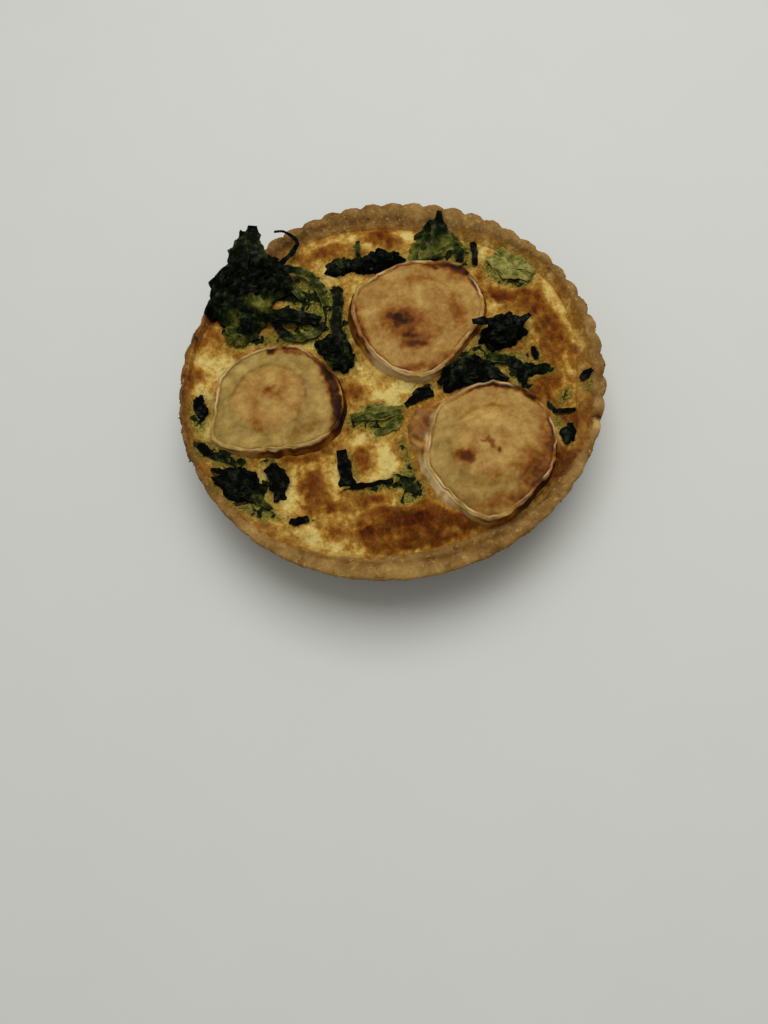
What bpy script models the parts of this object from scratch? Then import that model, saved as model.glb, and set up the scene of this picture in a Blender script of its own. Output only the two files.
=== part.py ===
"""A small round quiche with three slices of goat's cheese and wilted spinach.

Units: sizes here are millimetres, turned to metres where a mesh is made. +Z is up, the
origin is the centre of the underside, and +Y points to the rear, where the flutes are finest.
"""
import math

import bmesh
import bpy
from mathutils import Vector, noise

MM = 0.001
GAP = 0.3

# Crust: a tapered case whose wall swells a little and ends in a fluted rim
RIM_RADIUS = 75.0
BASE_RADIUS = 62.0
CRUST_HEIGHT = 26.0
WALL_SWELL = 0.8
FOOT_ROUND = 1.5
CREST_WIDTH = 2.4
FLOOR_RADIUS = 58.5
FLOOR_THICKNESS = 4.5
WALL_SHARES = (0.045, 0.3, 0.58, 0.82, 0.95)
CREST_WAVES = ((3.0, 1.0, 0.35), (7.0, 2.0, 0.25))  # waves round the rim, phase, height
CREST_DIP = 0.4  # share of a flute's dip that the crest's inner side follows
SLOPE_BREAK = 0.6  # height share of the bend halfway down the inner slope

FLUTES = 56
FLUTE_DEPTH = 1.8
FLUTE_START = 87.5
FLUTE_DRIFT = 0.33
FLUTE_REAR = 80.0
LOBE_POWER = 0.8
COLUMNS_PER_FLUTE = 4
INNER_COLUMNS = 112

# (angle in degrees, value) round the crust: where the filling meets it and how high, how
# strongly the flutes show, how far baked-over filling stands out of the rim, and how far the
# rim is out of round
EDGE_STOPS = ((-145, 66.5), (-95, 64.6), (-38, 67.5), (-20, 65.0), (20, 69.6), (58, 65.0),
              (105, 68.5), (125, 67.0), (150, 71.4), (178, 71.2))
LEVEL_STOPS = ((-150, 22.4), (-95, 21.6), (-20, 22.8), (60, 21.6), (120, 22.6), (150, 24.3),
               (178, 24.6))
FLUTE_STOPS = ((-150, 0.2), (-80, 0.12), (-45, 0.35), (0, 1.0), (110, 1.0), (150, 0.4))
OVERFLOW_STOPS = ((-171, 0.8), (-169, 0.0), (145, 0.0), (154, 0.8))
ROUNDNESS_STOPS = ((-120, 0.0), (-10, 0.6), (30, 1.2), (75, 2.2), (112, 1.4), (150, 0.0))
CRACK_ANGLE = -28.4
CRACK_HALF_WIDTH = 1.6
CRACK_DEPTH = 1.5

# Filling: a level with puffed, browned places (x, y, spread, lift)
FILLING_LEVEL = 22.3
FILLING_RINGS = 14
SIDE_GAP = 1.3 * GAP
EDGE_DROP = 0.2 * GAP
SWELL_BAND = 16.0
CALM_BAND = 6.0
PUFFS = ((-14, -53, 9, 1.6), (-2, -54, 8, 1.9), (9, -57, 7, 1.6), (-34, -37, 8, 1.0),
         (-15, -27, 4.5, 1.0), (60, 4, 9, 1.3), (54, 14, 8, 1.1), (51, -18, 6, 1.4),
         (-12, 1, 6, 0.7), (-4, 61, 6, 0.8), (12, 60, 6, 0.9), (-57, 42, 6, 0.9),
         (-57, 27, 7, 0.7), (-2, -7, 6, 0.5), (-9, -28, 7, 0.6), (-39, -49, 8, 0.6),
         (66, -21, 5, 1.0), (52, 26, 8, -0.7), (28, -9, 9, -0.8), (-25, -16, 8, -0.5))

# Cheese slices: centre, height of the top there, its slope in x and y, the radius of the top
# every 20 degrees from +X, and how far the foot spreads beyond it at some angles
CHEESES = {
    "cheese_left": {
        "centre": (-39.9, 0.9), "top": 27.2, "slope": (0.01, 0.0), "dome": (13.5, 1.3),
        "dome_shift": (-2.5, 1.0),
        "radii": (22.7, 21.5, 21.2, 22.4, 21.4, 22.0, 22.6, 23.0, 21.8, 22.4, 26.4, 22.8,
                  20.6, 19.2, 20.4, 22.9, 24.8, 24.1),
        "spread": ((-160, 0.6), (-120, 1.8), (-70, 2.2), (-30, 0.8), (10, 1.2), (60, 0.8),
                   (120, 0.6)),
    },
    "cheese_rear": {
        "centre": (16.0, 20.3), "top": 27.6, "slope": (-0.03, 0.02), "dome": (14.0, 0.9),
        "dome_shift": (1.0, 1.5),
        "radii": (24.6, 25.2, 25.8, 23.6, 22.8, 22.6, 22.8, 24.8, 23.6, 22.1, 21.6, 22.6,
                  23.9, 25.4, 23.0, 20.6, 20.4, 23.2),
        "spread": ((-150, 3.0), (-110, 1.6), (-60, 0.6), (0, 1.2), (30, 1.6), (90, 0.6),
                   (170, 3.0)),
    },
    "cheese_right": {
        "centre": (26.7, -36.8), "top": 28.0, "slope": (0.02, -0.01), "dome": (14.5, 1.6),
        "dome_shift": (1.0, 0.0),
        "radii": (21.9, 23.2, 23.7, 24.2, 24.2, 23.0, 23.2, 21.8, 21.0, 22.2, 21.8, 22.3,
                  25.2, 26.0, 22.8, 20.8, 21.4, 21.1),
        "spread": ((-165, 3.0), (-146, 3.6), (-128, 1.0), (-40, 0.4), (60, 0.6), (112, 1.4),
                   (141, 9.5), (160, 7.0), (177, 3.8)),
    },
}
RADIUS_STEP = 20
BOW = 0.25  # how much the outline bows between two of the radii
LIP_RISE = 0.5
LIP_START = 0.86
LIP_END = 0.97
LIP_DROP = 0.72  # how far the outer edge lies under the lip
DOME_EASE = (3.0, 1.5)  # where the dome starts and stops falling, inside and outside its radius
CHEESE_COLUMNS = 54
CHEESE_FOOT_RINGS = ((0.4, 18), (0.75, 36), (1.0, CHEESE_COLUMNS))
CHEESE_TOP_RINGS = ((0.975, CHEESE_COLUMNS), (0.84, 36), (0.66, 36), (0.46, 30), (0.22, 12))

# Spinach: each named clump is made of lumps (x, y, half length, half width, turn, height)
# and leaves (path of (x, y, lift) points, width at the start, middle and end); True marks a
# leaf that hangs over the edge of a cheese slice
LEAF_THICKNESS = 1.2
CLEARANCE = 0.5
CROWDED_BAND = 2.0
SPINACH = {
    "spinach_heap_rear_left": {
        "lumps": ((-41, 49.5, 18.5, 11.5, 30, 8.5), (-45.5, 35.5, 9, 5.5, 38, 4.2)),
        "leaves": (
            (((-41, 51, 6.5), (-38.5, 59.5, 9), (-36.2, 68, 8.6)), (14, 14, 7)),
            (((-52, 46, 4), (-50.5, 51, 5.5), (-46.5, 56, 6.5)), (8, 8, 4.5)),
            (((-39, 38.5, 1.8), (-30, 35.4, 2.6), (-18.6, 30, 1.2)), (5, 6.6, 3.2)),
            (((-28, 55, 4), (-20, 52, 2.8), (-16.2, 44.5, 1.8), (-15, 36, 0.8)), (4, 3.4, 3)),
            (((-27, 53, 3.4), (-25.2, 47, 2.2), (-21.6, 40.5, 1.2)), (3, 2.8, 2.4)),
            (((-35, 35.6, 2), (-30.8, 27, 1.4), (-22.6, 25, 1.2), (-17, 28.8, 0.8)), (3.4, 3, 2.6)),
            (((-29.5, 56, 3.6), (-22.8, 61.2, 3), (-19.6, 65.4, 3.4), (-22.8, 68.4, 3.8), (-27, 69.2, 3.8)),
             (3, 2.2, 1.4)),
        ),
    },
    "spinach_between_rear": {
        "lumps": ((-15.5, 15.4, 7.4, 6.6, -55, 4),),
        "leaves": (
            (((-14, 20, 2.4), (-12.4, 28, 1.4), (-10.2, 36, 1), (-9.6, 43, 0.6)), (5, 3.6, 4.4)),
        ),
    },
    "spinach_strip_rear": {
        "lumps": ((7.8, 49.2, 8.8, 4.4, -2, 3.4), (-6, 51.8, 5.4, 3.2, 0, 2.6)),
        "leaves": (
            (((-8, 52, 1), (-0.5, 51.2, 1.2), (7, 49.6, 1.2)), (3, 4.4, 3)),
            (((1.6, 52, 1.4), (1.8, 56.4, 1.2), (3, 61.2, 0.8)), (1.8, 1.6, 1.4)),
        ),
    },
    "spinach_leaf_rear": {
        "leaves": (
            (((32, 61.2, 1.2), (30.5, 54, 1), (29.5, 46.6, 0.4)), (3, 14, 20)),
            (((38.2, 49.4, 0.6), (38.4, 45, 0.9), (37.2, 40.8, 0.6)), (2.4, 4.2, 2.4)),
        ),
    },
    "spinach_strand_rear": {
        "leaves": ((((44.4, 48.2, 0.6), (43.8, 43.4, 0.8), (42.4, 37.8, 0.5)), (2.2, 2.8, 1.8)),),
    },
    "spinach_leaf_pale": {
        "leaves": ((((50.4, 41, 0.2), (54.4, 34.2, 0.4), (60.8, 26.8, 0.2)), (7, 11, 3.4)),),
    },
    "spinach_spiky": {
        "lumps": ((43.2, 6.6, 8, 6, 6, 4.6),),
        "leaves": (
            (((43, 8, 3.6), (38.5, 9.4, 5.8), (33.4, 10, 7)), (5, 3.8, 1.6), True),
            (((46, 6.6, 2.8), (50.4, 7.2, 3.4), (54.2, 8.4, 3.2)), (5, 4, 1.4)),
            (((42, 6, 3.4), (45, 8.8, 4.2), (48, 11.2, 4)), (4, 3.6, 1.4)),
        ),
    },
    "spinach_middle": {
        "lumps": ((26.2, -5.2, 9.4, 7.2, -28, 4.6),),
        "leaves": ((((29, -3, 2.4), (34, -7, 1.8), (39.8, -13, 0.6)), (6, 5, 2)),),
    },
    "spinach_bits_right": {
        "lumps": ((50.6, -11.6, 5, 2.4, -8, 1.6),),
        "leaves": (
            (((36, -0.6, 0.4), (41.2, -4.4, 0.8), (47, -9.6, 0.6)), (3, 4.2, 2.6)),
            (((45.8, -7.8, 0.5), (45.4, -12, 0.7), (44.8, -15.6, 0.3)), (3, 3.8, 2.2)),
        ),
    },
    "spinach_fleck_right": {
        "leaves": ((((52.3, -2, 0.2), (51.9, -4.6, 0.3), (51.6, -7.2, 0.2)), (1.2, 2.2, 1.4)),),
    },
    "spinach_leaf_centre": {
        "leaves": (
            (((3.4, -11.8, 0.4), (8.6, -10.2, 0.9), (14, -10.2, 0.6)), (1.8, 3.2, 2.6)),
            (((6.8, -9.2, 0.5), (10, -7.9, 0.9), (13.6, -7.4, 0.6)), (2, 3, 2.4)),
        ),
    },
    "spinach_stalks": {
        "leaves": (
            (((-16.4, -11.8, 0.6), (-8, -12.4, 1.2), (1.6, -13.4, 0.7)), (3.4, 5.6, 3.4)),
            (((-9.4, -20.4, 0.4), (-4, -18.6, 0.8), (1, -16, 0.8)), (2.6, 4.2, 3)),
        ),
    },
    "spinach_leaf_bent": {
        "leaves": (
            (((-22, -22.6, 0.5), (-22.3, -29, 1.2), (-22.4, -36.6, 0.8)), (3.2, 4.6, 4.6)),
            (((-22, -37.2, 0.7), (-15, -37.8, 0.6), (-7.6, -38.4, 0.4)), (3.2, 1.8, 1.6)),
        ),
    },
    "spinach_bits_front": {
        "leaves": ((((-4.2, -37.6, 0.3), (-3, -41.4, 0.7), (-0.8, -45.4, 0.3)), (2.6, 4, 2.2)),),
    },
    "spinach_clump_front_left": {
        "lumps": ((-58.4, -26, 8.6, 5.2, -38, 2.8),),
        "leaves": (
            (((-60, -22, 1.2), (-64, -20, 1.8), (-67, -18.6, 1.2)), (2.6, 2.4, 1.2)),
            (((-57, -29, 1), (-53, -32.8, 0.8), (-50, -37.6, 0.3)), (3.4, 2.8, 1.2)),
        ),
    },
    "spinach_oval_front": {
        "leaves": ((((-47.8, -21.6, 0.5), (-44.9, -27.4, 1.2), (-46.4, -35, 0.5)), (4.6, 6.6, 4.2)),),
    },
    "spinach_oval_left": {
        "leaves": ((((-66.6, 10.6, 0.3), (-67.4, 6.6, 0.6), (-66.2, 2.4, 0.3)), (3, 5.2, 3.4)),),
    },
    "spinach_bits_left": {
        "leaves": ((((-69.6, -7.6, 0.2), (-66, -12.4, 0.5), (-60, -16.4, 0.3)), (2.4, 3.2, 2.4)),),
    },
    "spinach_fleck_front": {
        "leaves": ((((-44.2, -43.2, 0.2), (-41.2, -44.8, 0.5), (-37.8, -44.2, 0.2)), (1.8, 3.2, 1.8)),),
    },
    "spinach_disc_right": {
        "leaves": ((((53.8, -35.2, 0.2), (53.4, -38, 0.4), (53, -40.8, 0.2)), (4.4, 6.6, 4.4)),),
    },
    "spinach_strand_right": {
        "leaves": ((((51, -28.2, 0.4), (54.6, -29.6, 0.6), (58.6, -29.8, 0.3)), (2.2, 2, 1.4)),),
    },
    "spinach_fleck_rim": {
        "leaves": ((((63.6, -19.8, 0.2), (65.8, -18.8, 0.5), (68, -17.8, 0.3)), (2, 3, 1.6)),),
    },
}
LUMP_COLUMNS = 20
LUMP_UNDER = (0.0, 0.55, 1.0)
LUMP_TOP = ((1.0, 1.0, 0.25), (0.86, 0.75, 0.72), (0.6, 0.5, 0.93), (0.28, 0.3, 1.0))  # share, columns, lift
LUMP_UNEVEN = (0.6, 0.35)  # size and amount
LUMP_CRUMPLE = (3.5, 0.22)
LUMP_LEAST = 0.8
LEAF_CRUMPLE = (2.6, 0.9)
LEAF_CURL = 0.25  # lift of a leaf's edges, as a share of its width up to the widest curl
WIDEST_CURL = 6.0
RESTING_GAP = 1.5 * GAP
HEADING_STEP = 0.05
LUMP_REACH = 3.0
LEAF_REACH = 1.0
LEAF_STEP = 3.2
LEAF_ACROSS = 2
WIDE_LEAF = 5.0


def clear_scene():
    for leftover in list(bpy.data.objects):
        bpy.data.objects.remove(leftover, do_unlink=True)


def smooth(low, high, value):
    share = min(max((value - low) / (high - low), 0.0), 1.0)
    return share * share * (3.0 - 2.0 * share)


def around(angle, stops):
    """Eased value at an angle in degrees, from (angle, value) stops in rising order."""
    angle = (angle + 180.0) % 360.0 - 180.0
    before = (stops[-1][0] - 360.0, stops[-1][1])
    for stop in stops + ((stops[0][0] + 360.0, stops[0][1]),):
        if angle <= stop[0]:
            break
        before = stop
    return before[1] + (stop[1] - before[1]) * smooth(before[0], stop[0], angle)


def polar(x, y):
    return math.hypot(x, y), math.degrees(math.atan2(y, x))


def on_circle(radius, angle, centre=(0.0, 0.0)):
    turn = math.radians(angle)
    return centre[0] + radius * math.cos(turn), centre[1] + radius * math.sin(turn)


# The crust's form

def flute_drift(angle):
    rear = math.radians(FLUTE_REAR)
    return math.sin(math.radians(angle) - rear) - math.sin(math.radians(FLUTE_START) - rear)


def flute_number(angle):
    """Flutes counted from the one at the rear; they are a little narrower there."""
    return FLUTES * (angle - FLUTE_START) / 360.0 + FLUTE_DRIFT * flute_drift(angle)


def flute_angle(number):
    angle = FLUTE_START + 360.0 * number / FLUTES
    for _ in range(8):
        angle = FLUTE_START + 360.0 * (number - FLUTE_DRIFT * flute_drift(angle)) / FLUTES
    return angle


def flute_dip(angle, share):
    """How far the wall falls back between two flutes, at a share of the wall's height."""
    lobe = abs(math.cos(math.pi * flute_number(angle))) ** LOBE_POWER
    return FLUTE_DEPTH * (1.0 - lobe) * around(angle, FLUTE_STOPS) * smooth(0.2, 0.95, share)


def wall_radius(angle, share):
    spread = RIM_RADIUS + around(angle, ROUNDNESS_STOPS) - BASE_RADIUS
    return BASE_RADIUS + spread * share ** WALL_SWELL


def crest_height(angle):
    turn = math.radians(angle)
    wave = sum(height * math.sin(count * turn + phase) for count, phase, height in CREST_WAVES)
    crack = math.exp(-((angle - CRACK_ANGLE + 180.0) % 360.0 - 180.0) ** 2 / CRACK_HALF_WIDTH ** 2)
    return CRUST_HEIGHT + wave - CRACK_DEPTH * crack


def crust_section(angle):
    """(radius, height) points from the foot up over the rim and down to the inner floor."""
    crest = crest_height(angle)
    edge = around(angle, EDGE_STOPS)
    level = around(angle, LEVEL_STOPS)
    overflow = around(angle, OVERFLOW_STOPS)
    points = [(BASE_RADIUS - FOOT_ROUND, 0.0)]
    for share in WALL_SHARES:
        radius = wall_radius(angle, share) - flute_dip(angle, share)
        points.append((radius + overflow * smooth(0.4, 0.9, share), crest * share))
    top_radius = wall_radius(angle, 1.0) - CREST_WIDTH - CREST_DIP * flute_dip(angle, 1.0)
    points.append((top_radius, crest))
    points.append((0.5 * (top_radius + edge), level + SLOPE_BREAK * (crest - level)))
    points.append((edge, level))
    points.append((FLOOR_RADIUS, FLOOR_THICKNESS))
    return points


# The filling's form

def filling_height(x, y):
    radius, angle = polar(x, y)
    edge = around(angle, EDGE_STOPS)
    rise = around(angle, LEVEL_STOPS) - FILLING_LEVEL
    height = FILLING_LEVEL + rise * smooth(edge - SWELL_BAND, edge, radius)
    calm = 1.0 - smooth(edge - CALM_BAND, edge, radius)
    for puff_x, puff_y, spread, lift in PUFFS:
        apart = ((x - puff_x) ** 2 + (y - puff_y) ** 2) / spread ** 2
        height += calm * lift * math.exp(-apart)
    return height


def resting_height(x, y):
    """Height of what carries a topping: the filling, or the crust's rim beyond it."""
    radius, angle = polar(x, y)
    section = crust_section(angle)
    crest, inner, edge = section[-4], section[-3], section[-2]
    if radius <= edge[0] - GAP:
        return filling_height(x, y)
    outer = edge
    for point in (inner, crest):
        if radius <= point[0]:
            share = max(radius - outer[0], 0.0) / (point[0] - outer[0])
            return outer[1] + (point[1] - outer[1]) * share
        outer = point
    return crest[1]


def carried_height(x, y, reach):
    """Highest resting height within reach of a point, so that a flat facet clears the crest."""
    nearby = ((0.0, 0.0), (reach, 0.0), (-reach, 0.0), (0.0, reach), (0.0, -reach))
    return max(resting_height(x + dx, y + dy) for dx, dy in nearby)


# Solids from rings of points

def zip_rings(first, second):
    """Triangles between two closed rings of vertex numbers, whatever their counts."""
    if len(first) == 1:
        count = len(second)
        return [(first[0], second[(k + 1) % count], second[k]) for k in range(count)]
    if len(second) == 1:
        count = len(first)
        return [(first[k], first[(k + 1) % count], second[0]) for k in range(count)]
    faces = []
    i = 0
    j = 0
    while i < len(first) or j < len(second):
        ahead = (i + 1) * len(second) <= (j + 1) * len(first)
        here = first[i % len(first)]
        there = second[j % len(second)]
        if j >= len(second) or (i < len(first) and ahead):
            faces.append((here, first[(i + 1) % len(first)], there))
            i += 1
        else:
            faces.append((here, second[(j + 1) % len(second)], there))
            j += 1
    return faces


def ring_mesh(name, rings):
    """Closed mesh whose rings run from the underside out, up and back over the top."""
    points = []
    faces = []
    before = None
    for ring in rings:
        numbers = list(range(len(points), len(points) + len(ring)))
        points.extend(Vector(point) * MM for point in ring)
        if before:
            faces.extend(zip_rings(before, numbers))
        before = numbers
    mesh = bpy.data.meshes.new(name)
    mesh.from_pydata(points, [], faces)
    return mesh


def food_material(name, colour, roughness):
    material = bpy.data.materials.new(name)
    material.use_nodes = True
    surface = material.node_tree.nodes["Principled BSDF"]
    surface.inputs["Base Color"].default_value = (*colour, 1.0)
    surface.inputs["Roughness"].default_value = roughness
    surface.inputs["Metallic"].default_value = 0.0
    return material


def add_object(name, mesh, material):
    mesh.materials.clear()
    mesh.materials.append(material)
    piece = bpy.data.objects.new(name, mesh)
    bpy.context.scene.collection.objects.link(piece)
    return piece


def face_out(mesh):
    """Turn every face of a closed mesh outwards."""
    work = bmesh.new()
    work.from_mesh(mesh)
    bmesh.ops.recalc_face_normals(work, faces=work.faces)
    work.to_mesh(mesh)
    work.free()


# Crust and filling

def crust_mesh():
    """Fluted case: fine columns on the outer wall and rim, half as many inside."""
    outer_count = FLUTES * COLUMNS_PER_FLUTE
    outer = [flute_angle(k / COLUMNS_PER_FLUTE) for k in range(outer_count)]
    inner = [flute_angle(k * FLUTES / INNER_COLUMNS) for k in range(INNER_COLUMNS)]
    point_count = len(crust_section(0.0))
    rings = [[(0.0, 0.0, 0.0)]]
    for index in range(point_count):
        angles = outer if index < point_count - 3 else inner
        ring = []
        for angle in angles:
            radius, height = crust_section(angle)[index]
            ring.append((*on_circle(radius, angle), height))
        rings.append(ring)
    rings.append([(0.0, 0.0, FLOOR_THICKNESS)])
    return ring_mesh("crust", rings)


def filling_mesh():
    """Set custard that fills the case up to its edge, with a low uneven top."""
    angles = [flute_angle(k * FLUTES / INNER_COLUMNS) for k in range(INNER_COLUMNS)]
    floor = FLOOR_THICKNESS + GAP
    rings = [[(0.0, 0.0, floor)]]
    rings.append([(*on_circle(FLOOR_RADIUS - SIDE_GAP, angle), floor) for angle in angles])
    for step in range(FILLING_RINGS, 0, -1):
        count = INNER_COLUMNS * step // FILLING_RINGS
        ring = []
        for k in range(count):
            angle = flute_angle(k * FLUTES / count)
            radius = (around(angle, EDGE_STOPS) - SIDE_GAP) * step / FILLING_RINGS
            x, y = on_circle(radius, angle)
            ring.append((x, y, filling_height(x, y) - EDGE_DROP * (step == FILLING_RINGS)))
        rings.append(ring)
    rings.append([(0.0, 0.0, filling_height(0.0, 0.0))])
    return ring_mesh("custard", rings)


# Cheese slices

def top_radius_at(cheese, angle):
    """Radius of the slice's top at an angle, through the radii given every 20 degrees."""
    radii = cheese["radii"]
    place = (angle % 360.0) / RADIUS_STEP
    index = int(place)
    share = place - index
    before, start, end, after = (radii[(index + k) % len(radii)] for k in (-1, 0, 1, 2))
    bend = start - before - (end - start)
    turn = end - start - (after - end)
    straight = start + (end - start) * share
    return straight + BOW * share * (1.0 - share) * (bend * (1.0 - share) + turn * share)


def foot_radius_at(cheese, angle):
    return top_radius_at(cheese, angle) + around(angle, cheese["spread"])


def cheese_top(cheese, x, y, share):
    """Height of the slice's top face; share is 0 at its centre and 1 at its edge."""
    centre_x, centre_y = cheese["centre"]
    slope_x, slope_y = cheese["slope"]
    height = cheese["top"] + slope_x * (x - centre_x) + slope_y * (y - centre_y)
    dome_radius, dome_rise = cheese["dome"]
    shift_x, shift_y = cheese["dome_shift"]
    apart = math.hypot(x - centre_x - shift_x, y - centre_y - shift_y)
    start, stop = dome_radius - DOME_EASE[0], dome_radius + DOME_EASE[1]
    height += dome_rise * (1.0 - smooth(start, stop, apart))
    return height + LIP_RISE * smooth(LIP_START, LIP_END, share)


def cheese_mesh(name, cheese):
    """Slice with a flat-bottomed foot that follows the filling, a side and a domed top."""
    centre = cheese["centre"]
    rings = [[(*centre, resting_height(*centre) + GAP)]]
    for share, count in CHEESE_FOOT_RINGS:
        ring = []
        for k in range(count):
            angle = 360.0 * k / count
            x, y = on_circle(foot_radius_at(cheese, angle) * share, angle, centre)
            ring.append((x, y, resting_height(x, y) + GAP))
        rings.append(ring)
    side = []
    for k in range(CHEESE_COLUMNS):
        angle = 360.0 * k / CHEESE_COLUMNS
        x, y = on_circle(top_radius_at(cheese, angle), angle, centre)
        side.append((x, y, cheese_top(cheese, x, y, 1.0) - LIP_DROP))
    rings.append(side)
    for share, count in CHEESE_TOP_RINGS:
        ring = []
        for k in range(count):
            angle = 360.0 * k / count
            x, y = on_circle(top_radius_at(cheese, angle) * share, angle, centre)
            ring.append((x, y, cheese_top(cheese, x, y, share)))
        rings.append(ring)
    rings.append([(*centre, cheese_top(cheese, *centre, 0.0))])
    return ring_mesh(name, rings)


# Spinach

def clear_of_cheese(x, y):
    """Crowd the points near a cheese slice into a narrow band just outside its foot."""
    for cheese in CHEESES.values():
        centre_x, centre_y = cheese["centre"]
        apart, angle = polar(x - centre_x, y - centre_y)
        limit = foot_radius_at(cheese, angle) + CLEARANCE
        if apart < limit + CROWDED_BAND:
            crowded = limit + CROWDED_BAND * apart / (limit + CROWDED_BAND)
            x, y = on_circle(crowded, angle, cheese["centre"])
    return x, y


def crumple(x, y, size, amount, seed):
    return amount * noise.noise(Vector((x / size, y / size, 3.7 * seed)))


def lump_mesh(name, lump, seed):
    """Low crumpled mound of wilted leaves with an uneven outline."""
    centre_x, centre_y, half_length, half_width, turn, height = lump
    axis = math.radians(turn)

    def place(share, angle):
        swing = math.radians(angle)
        uneven = 1.0 + crumple(math.cos(swing), math.sin(swing), *LUMP_UNEVEN, seed)
        along = half_length * share * uneven * math.cos(swing)
        across = half_width * share * uneven * math.sin(swing)
        x = centre_x + along * math.cos(axis) - across * math.sin(axis)
        y = centre_y + along * math.sin(axis) + across * math.cos(axis)
        return clear_of_cheese(x, y)

    rings = []
    for share in LUMP_UNDER:
        count = max(1, round(LUMP_COLUMNS * share))
        ring = []
        for k in range(count):
            x, y = place(share, 360.0 * k / count)
            ring.append((x, y, carried_height(x, y, LUMP_REACH) + RESTING_GAP))
        rings.append(ring)
    for share, count_share, lift in LUMP_TOP:
        count = round(LUMP_COLUMNS * count_share)
        ring = []
        for k in range(count):
            x, y = place(share, 360.0 * k / count)
            raised = height * (lift + crumple(x, y, *LUMP_CRUMPLE, seed))
            floor = carried_height(x, y, LUMP_REACH) + RESTING_GAP
            ring.append((x, y, floor + max(raised, LUMP_LEAST)))
        rings.append(ring)
    x, y = clear_of_cheese(centre_x, centre_y)
    rings.append([(x, y, resting_height(x, y) + RESTING_GAP + height)])
    return ring_mesh(name, rings)


def along_path(path, share):
    """Point on a smooth curve through the path's points, share 0 to 1."""
    place = share * (len(path) - 1)
    index = min(int(place), len(path) - 2)
    local = place - index
    before = Vector(path[max(index - 1, 0)])
    start = Vector(path[index])
    end = Vector(path[index + 1])
    after = Vector(path[min(index + 2, len(path) - 1)])
    leave = 0.5 * (end - before)
    arrive = 0.5 * (after - start)
    square = local * local
    cube = square * local
    return (start * (2 * cube - 3 * square + 1) + leave * (cube - 2 * square + local)
            + end * (3 * square - 2 * cube) + arrive * (cube - square))


def leaf_mesh(name, leaf, seed):
    """Thin wavy strip; its two faces are split into triangles alike."""
    path, widths, *over = leaf
    sheets = ([], [])
    length = sum((Vector(b) - Vector(a)).length for a, b in zip(path, path[1:]))
    steps = max(3, round(length / LEAF_STEP))
    columns = LEAF_ACROSS + (max(widths) > WIDE_LEAF)
    for step in range(steps + 1):
        share = step / steps
        middle = along_path(path, share)
        heading = along_path(path, min(share + HEADING_STEP, 1.0))
        heading -= along_path(path, max(share - HEADING_STEP, 0.0))
        across = Vector((-heading.y, heading.x)).normalized()
        width = along_path([(value, 0.0, 0.0) for value in widths], share).x
        for k in range(columns + 1):
            side = k / columns - 0.5
            x = middle.x + across.x * side * width
            y = middle.y + across.y * side * width
            if not over:
                x, y = clear_of_cheese(x, y)
            ripple = crumple(x, y, *LEAF_CRUMPLE, seed) + LEAF_CURL * abs(side) * min(width, WIDEST_CURL)
            floor = carried_height(x, y, LEAF_REACH) + RESTING_GAP + max(middle.z + ripple, 0.0)
            sheets[0].append((x, y, floor))
            sheets[1].append((x, y, floor + LEAF_THICKNESS))
    count = len(sheets[0])
    row = columns + 1
    faces = []
    for step in range(steps):
        for k in range(columns):
            a = step * row + k
            b = a + 1
            c = a + row
            d = c + 1
            faces.extend(((a, b, c), (b, d, c)))
            faces.extend(((count + a, count + c, count + b), (count + b, count + c, count + d)))
    border = list(range(row))
    border += [step * row + columns for step in range(1, steps + 1)]
    border += [steps * row + k for k in range(columns - 1, -1, -1)]
    border += [step * row for step in range(steps - 1, 0, -1)]
    for first, second in zip(border, border[1:] + border[:1]):
        faces.append((first, second, count + second))
        faces.append((first, count + second, count + first))
    mesh = bpy.data.meshes.new(name)
    mesh.from_pydata([Vector(point) * MM for point in sheets[0] + sheets[1]], [], faces)
    face_out(mesh)
    return mesh


def fuse(name, meshes):
    """One closed mesh from several that run into each other."""
    if len(meshes) == 1:
        return meshes[0]
    group = bpy.data.collections.new(name + "_parts")
    bpy.context.scene.collection.children.link(group)
    for mesh in meshes[1:]:
        group.objects.link(bpy.data.objects.new(mesh.name, mesh))
    base = bpy.data.objects.new(name + "_base", meshes[0])
    bpy.context.scene.collection.objects.link(base)
    union = base.modifiers.new("fuse", "BOOLEAN")
    union.operation = "UNION"
    union.operand_type = "COLLECTION"
    union.collection = group
    union.solver = "MANIFOLD"
    bpy.context.view_layer.update()
    fused = bpy.data.meshes.new_from_object(base.evaluated_get(bpy.context.evaluated_depsgraph_get()))
    for helper in list(group.objects) + [base]:
        bpy.data.objects.remove(helper, do_unlink=True)
    bpy.data.collections.remove(group)
    fused.name = name
    return fused


def spinach_mesh(name, clump, seed):
    meshes = []
    for number, lump in enumerate(clump.get("lumps", ())):
        meshes.append(lump_mesh(f"{name}_lump_{number}", lump, seed + number))
    for number, leaf in enumerate(clump.get("leaves", ())):
        meshes.append(leaf_mesh(f"{name}_leaf_{number}", leaf, seed + 10 + number))
    return fuse(name, meshes)


def main():
    clear_scene()
    add_object("crust", crust_mesh(), food_material("baked_pastry", (0.42, 0.23, 0.07), 0.7))
    add_object("custard", filling_mesh(), food_material("set_custard", (0.62, 0.42, 0.12), 0.5))
    rind = food_material("goat_cheese", (0.52, 0.33, 0.12), 0.5)
    for name, cheese in CHEESES.items():
        add_object(name, cheese_mesh(name, cheese), rind)
    leaf = food_material("wilted_spinach", (0.012, 0.022, 0.008), 0.45)
    for seed, (name, clump) in enumerate(SPINACH.items()):
        add_object(name, spinach_mesh(name, clump, 20 * seed), leaf)
    bpy.context.view_layer.update()


main()
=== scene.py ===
# %% [markdown]
# # A round quiche with goat's cheese and spinach
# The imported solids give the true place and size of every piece. This lesson dresses them: each
# one is replaced by a finer mesh of the same form, with its own baked or wilted finish.

import math

import bpy
import numpy as np
from mathutils import Matrix, Vector, noise


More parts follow.
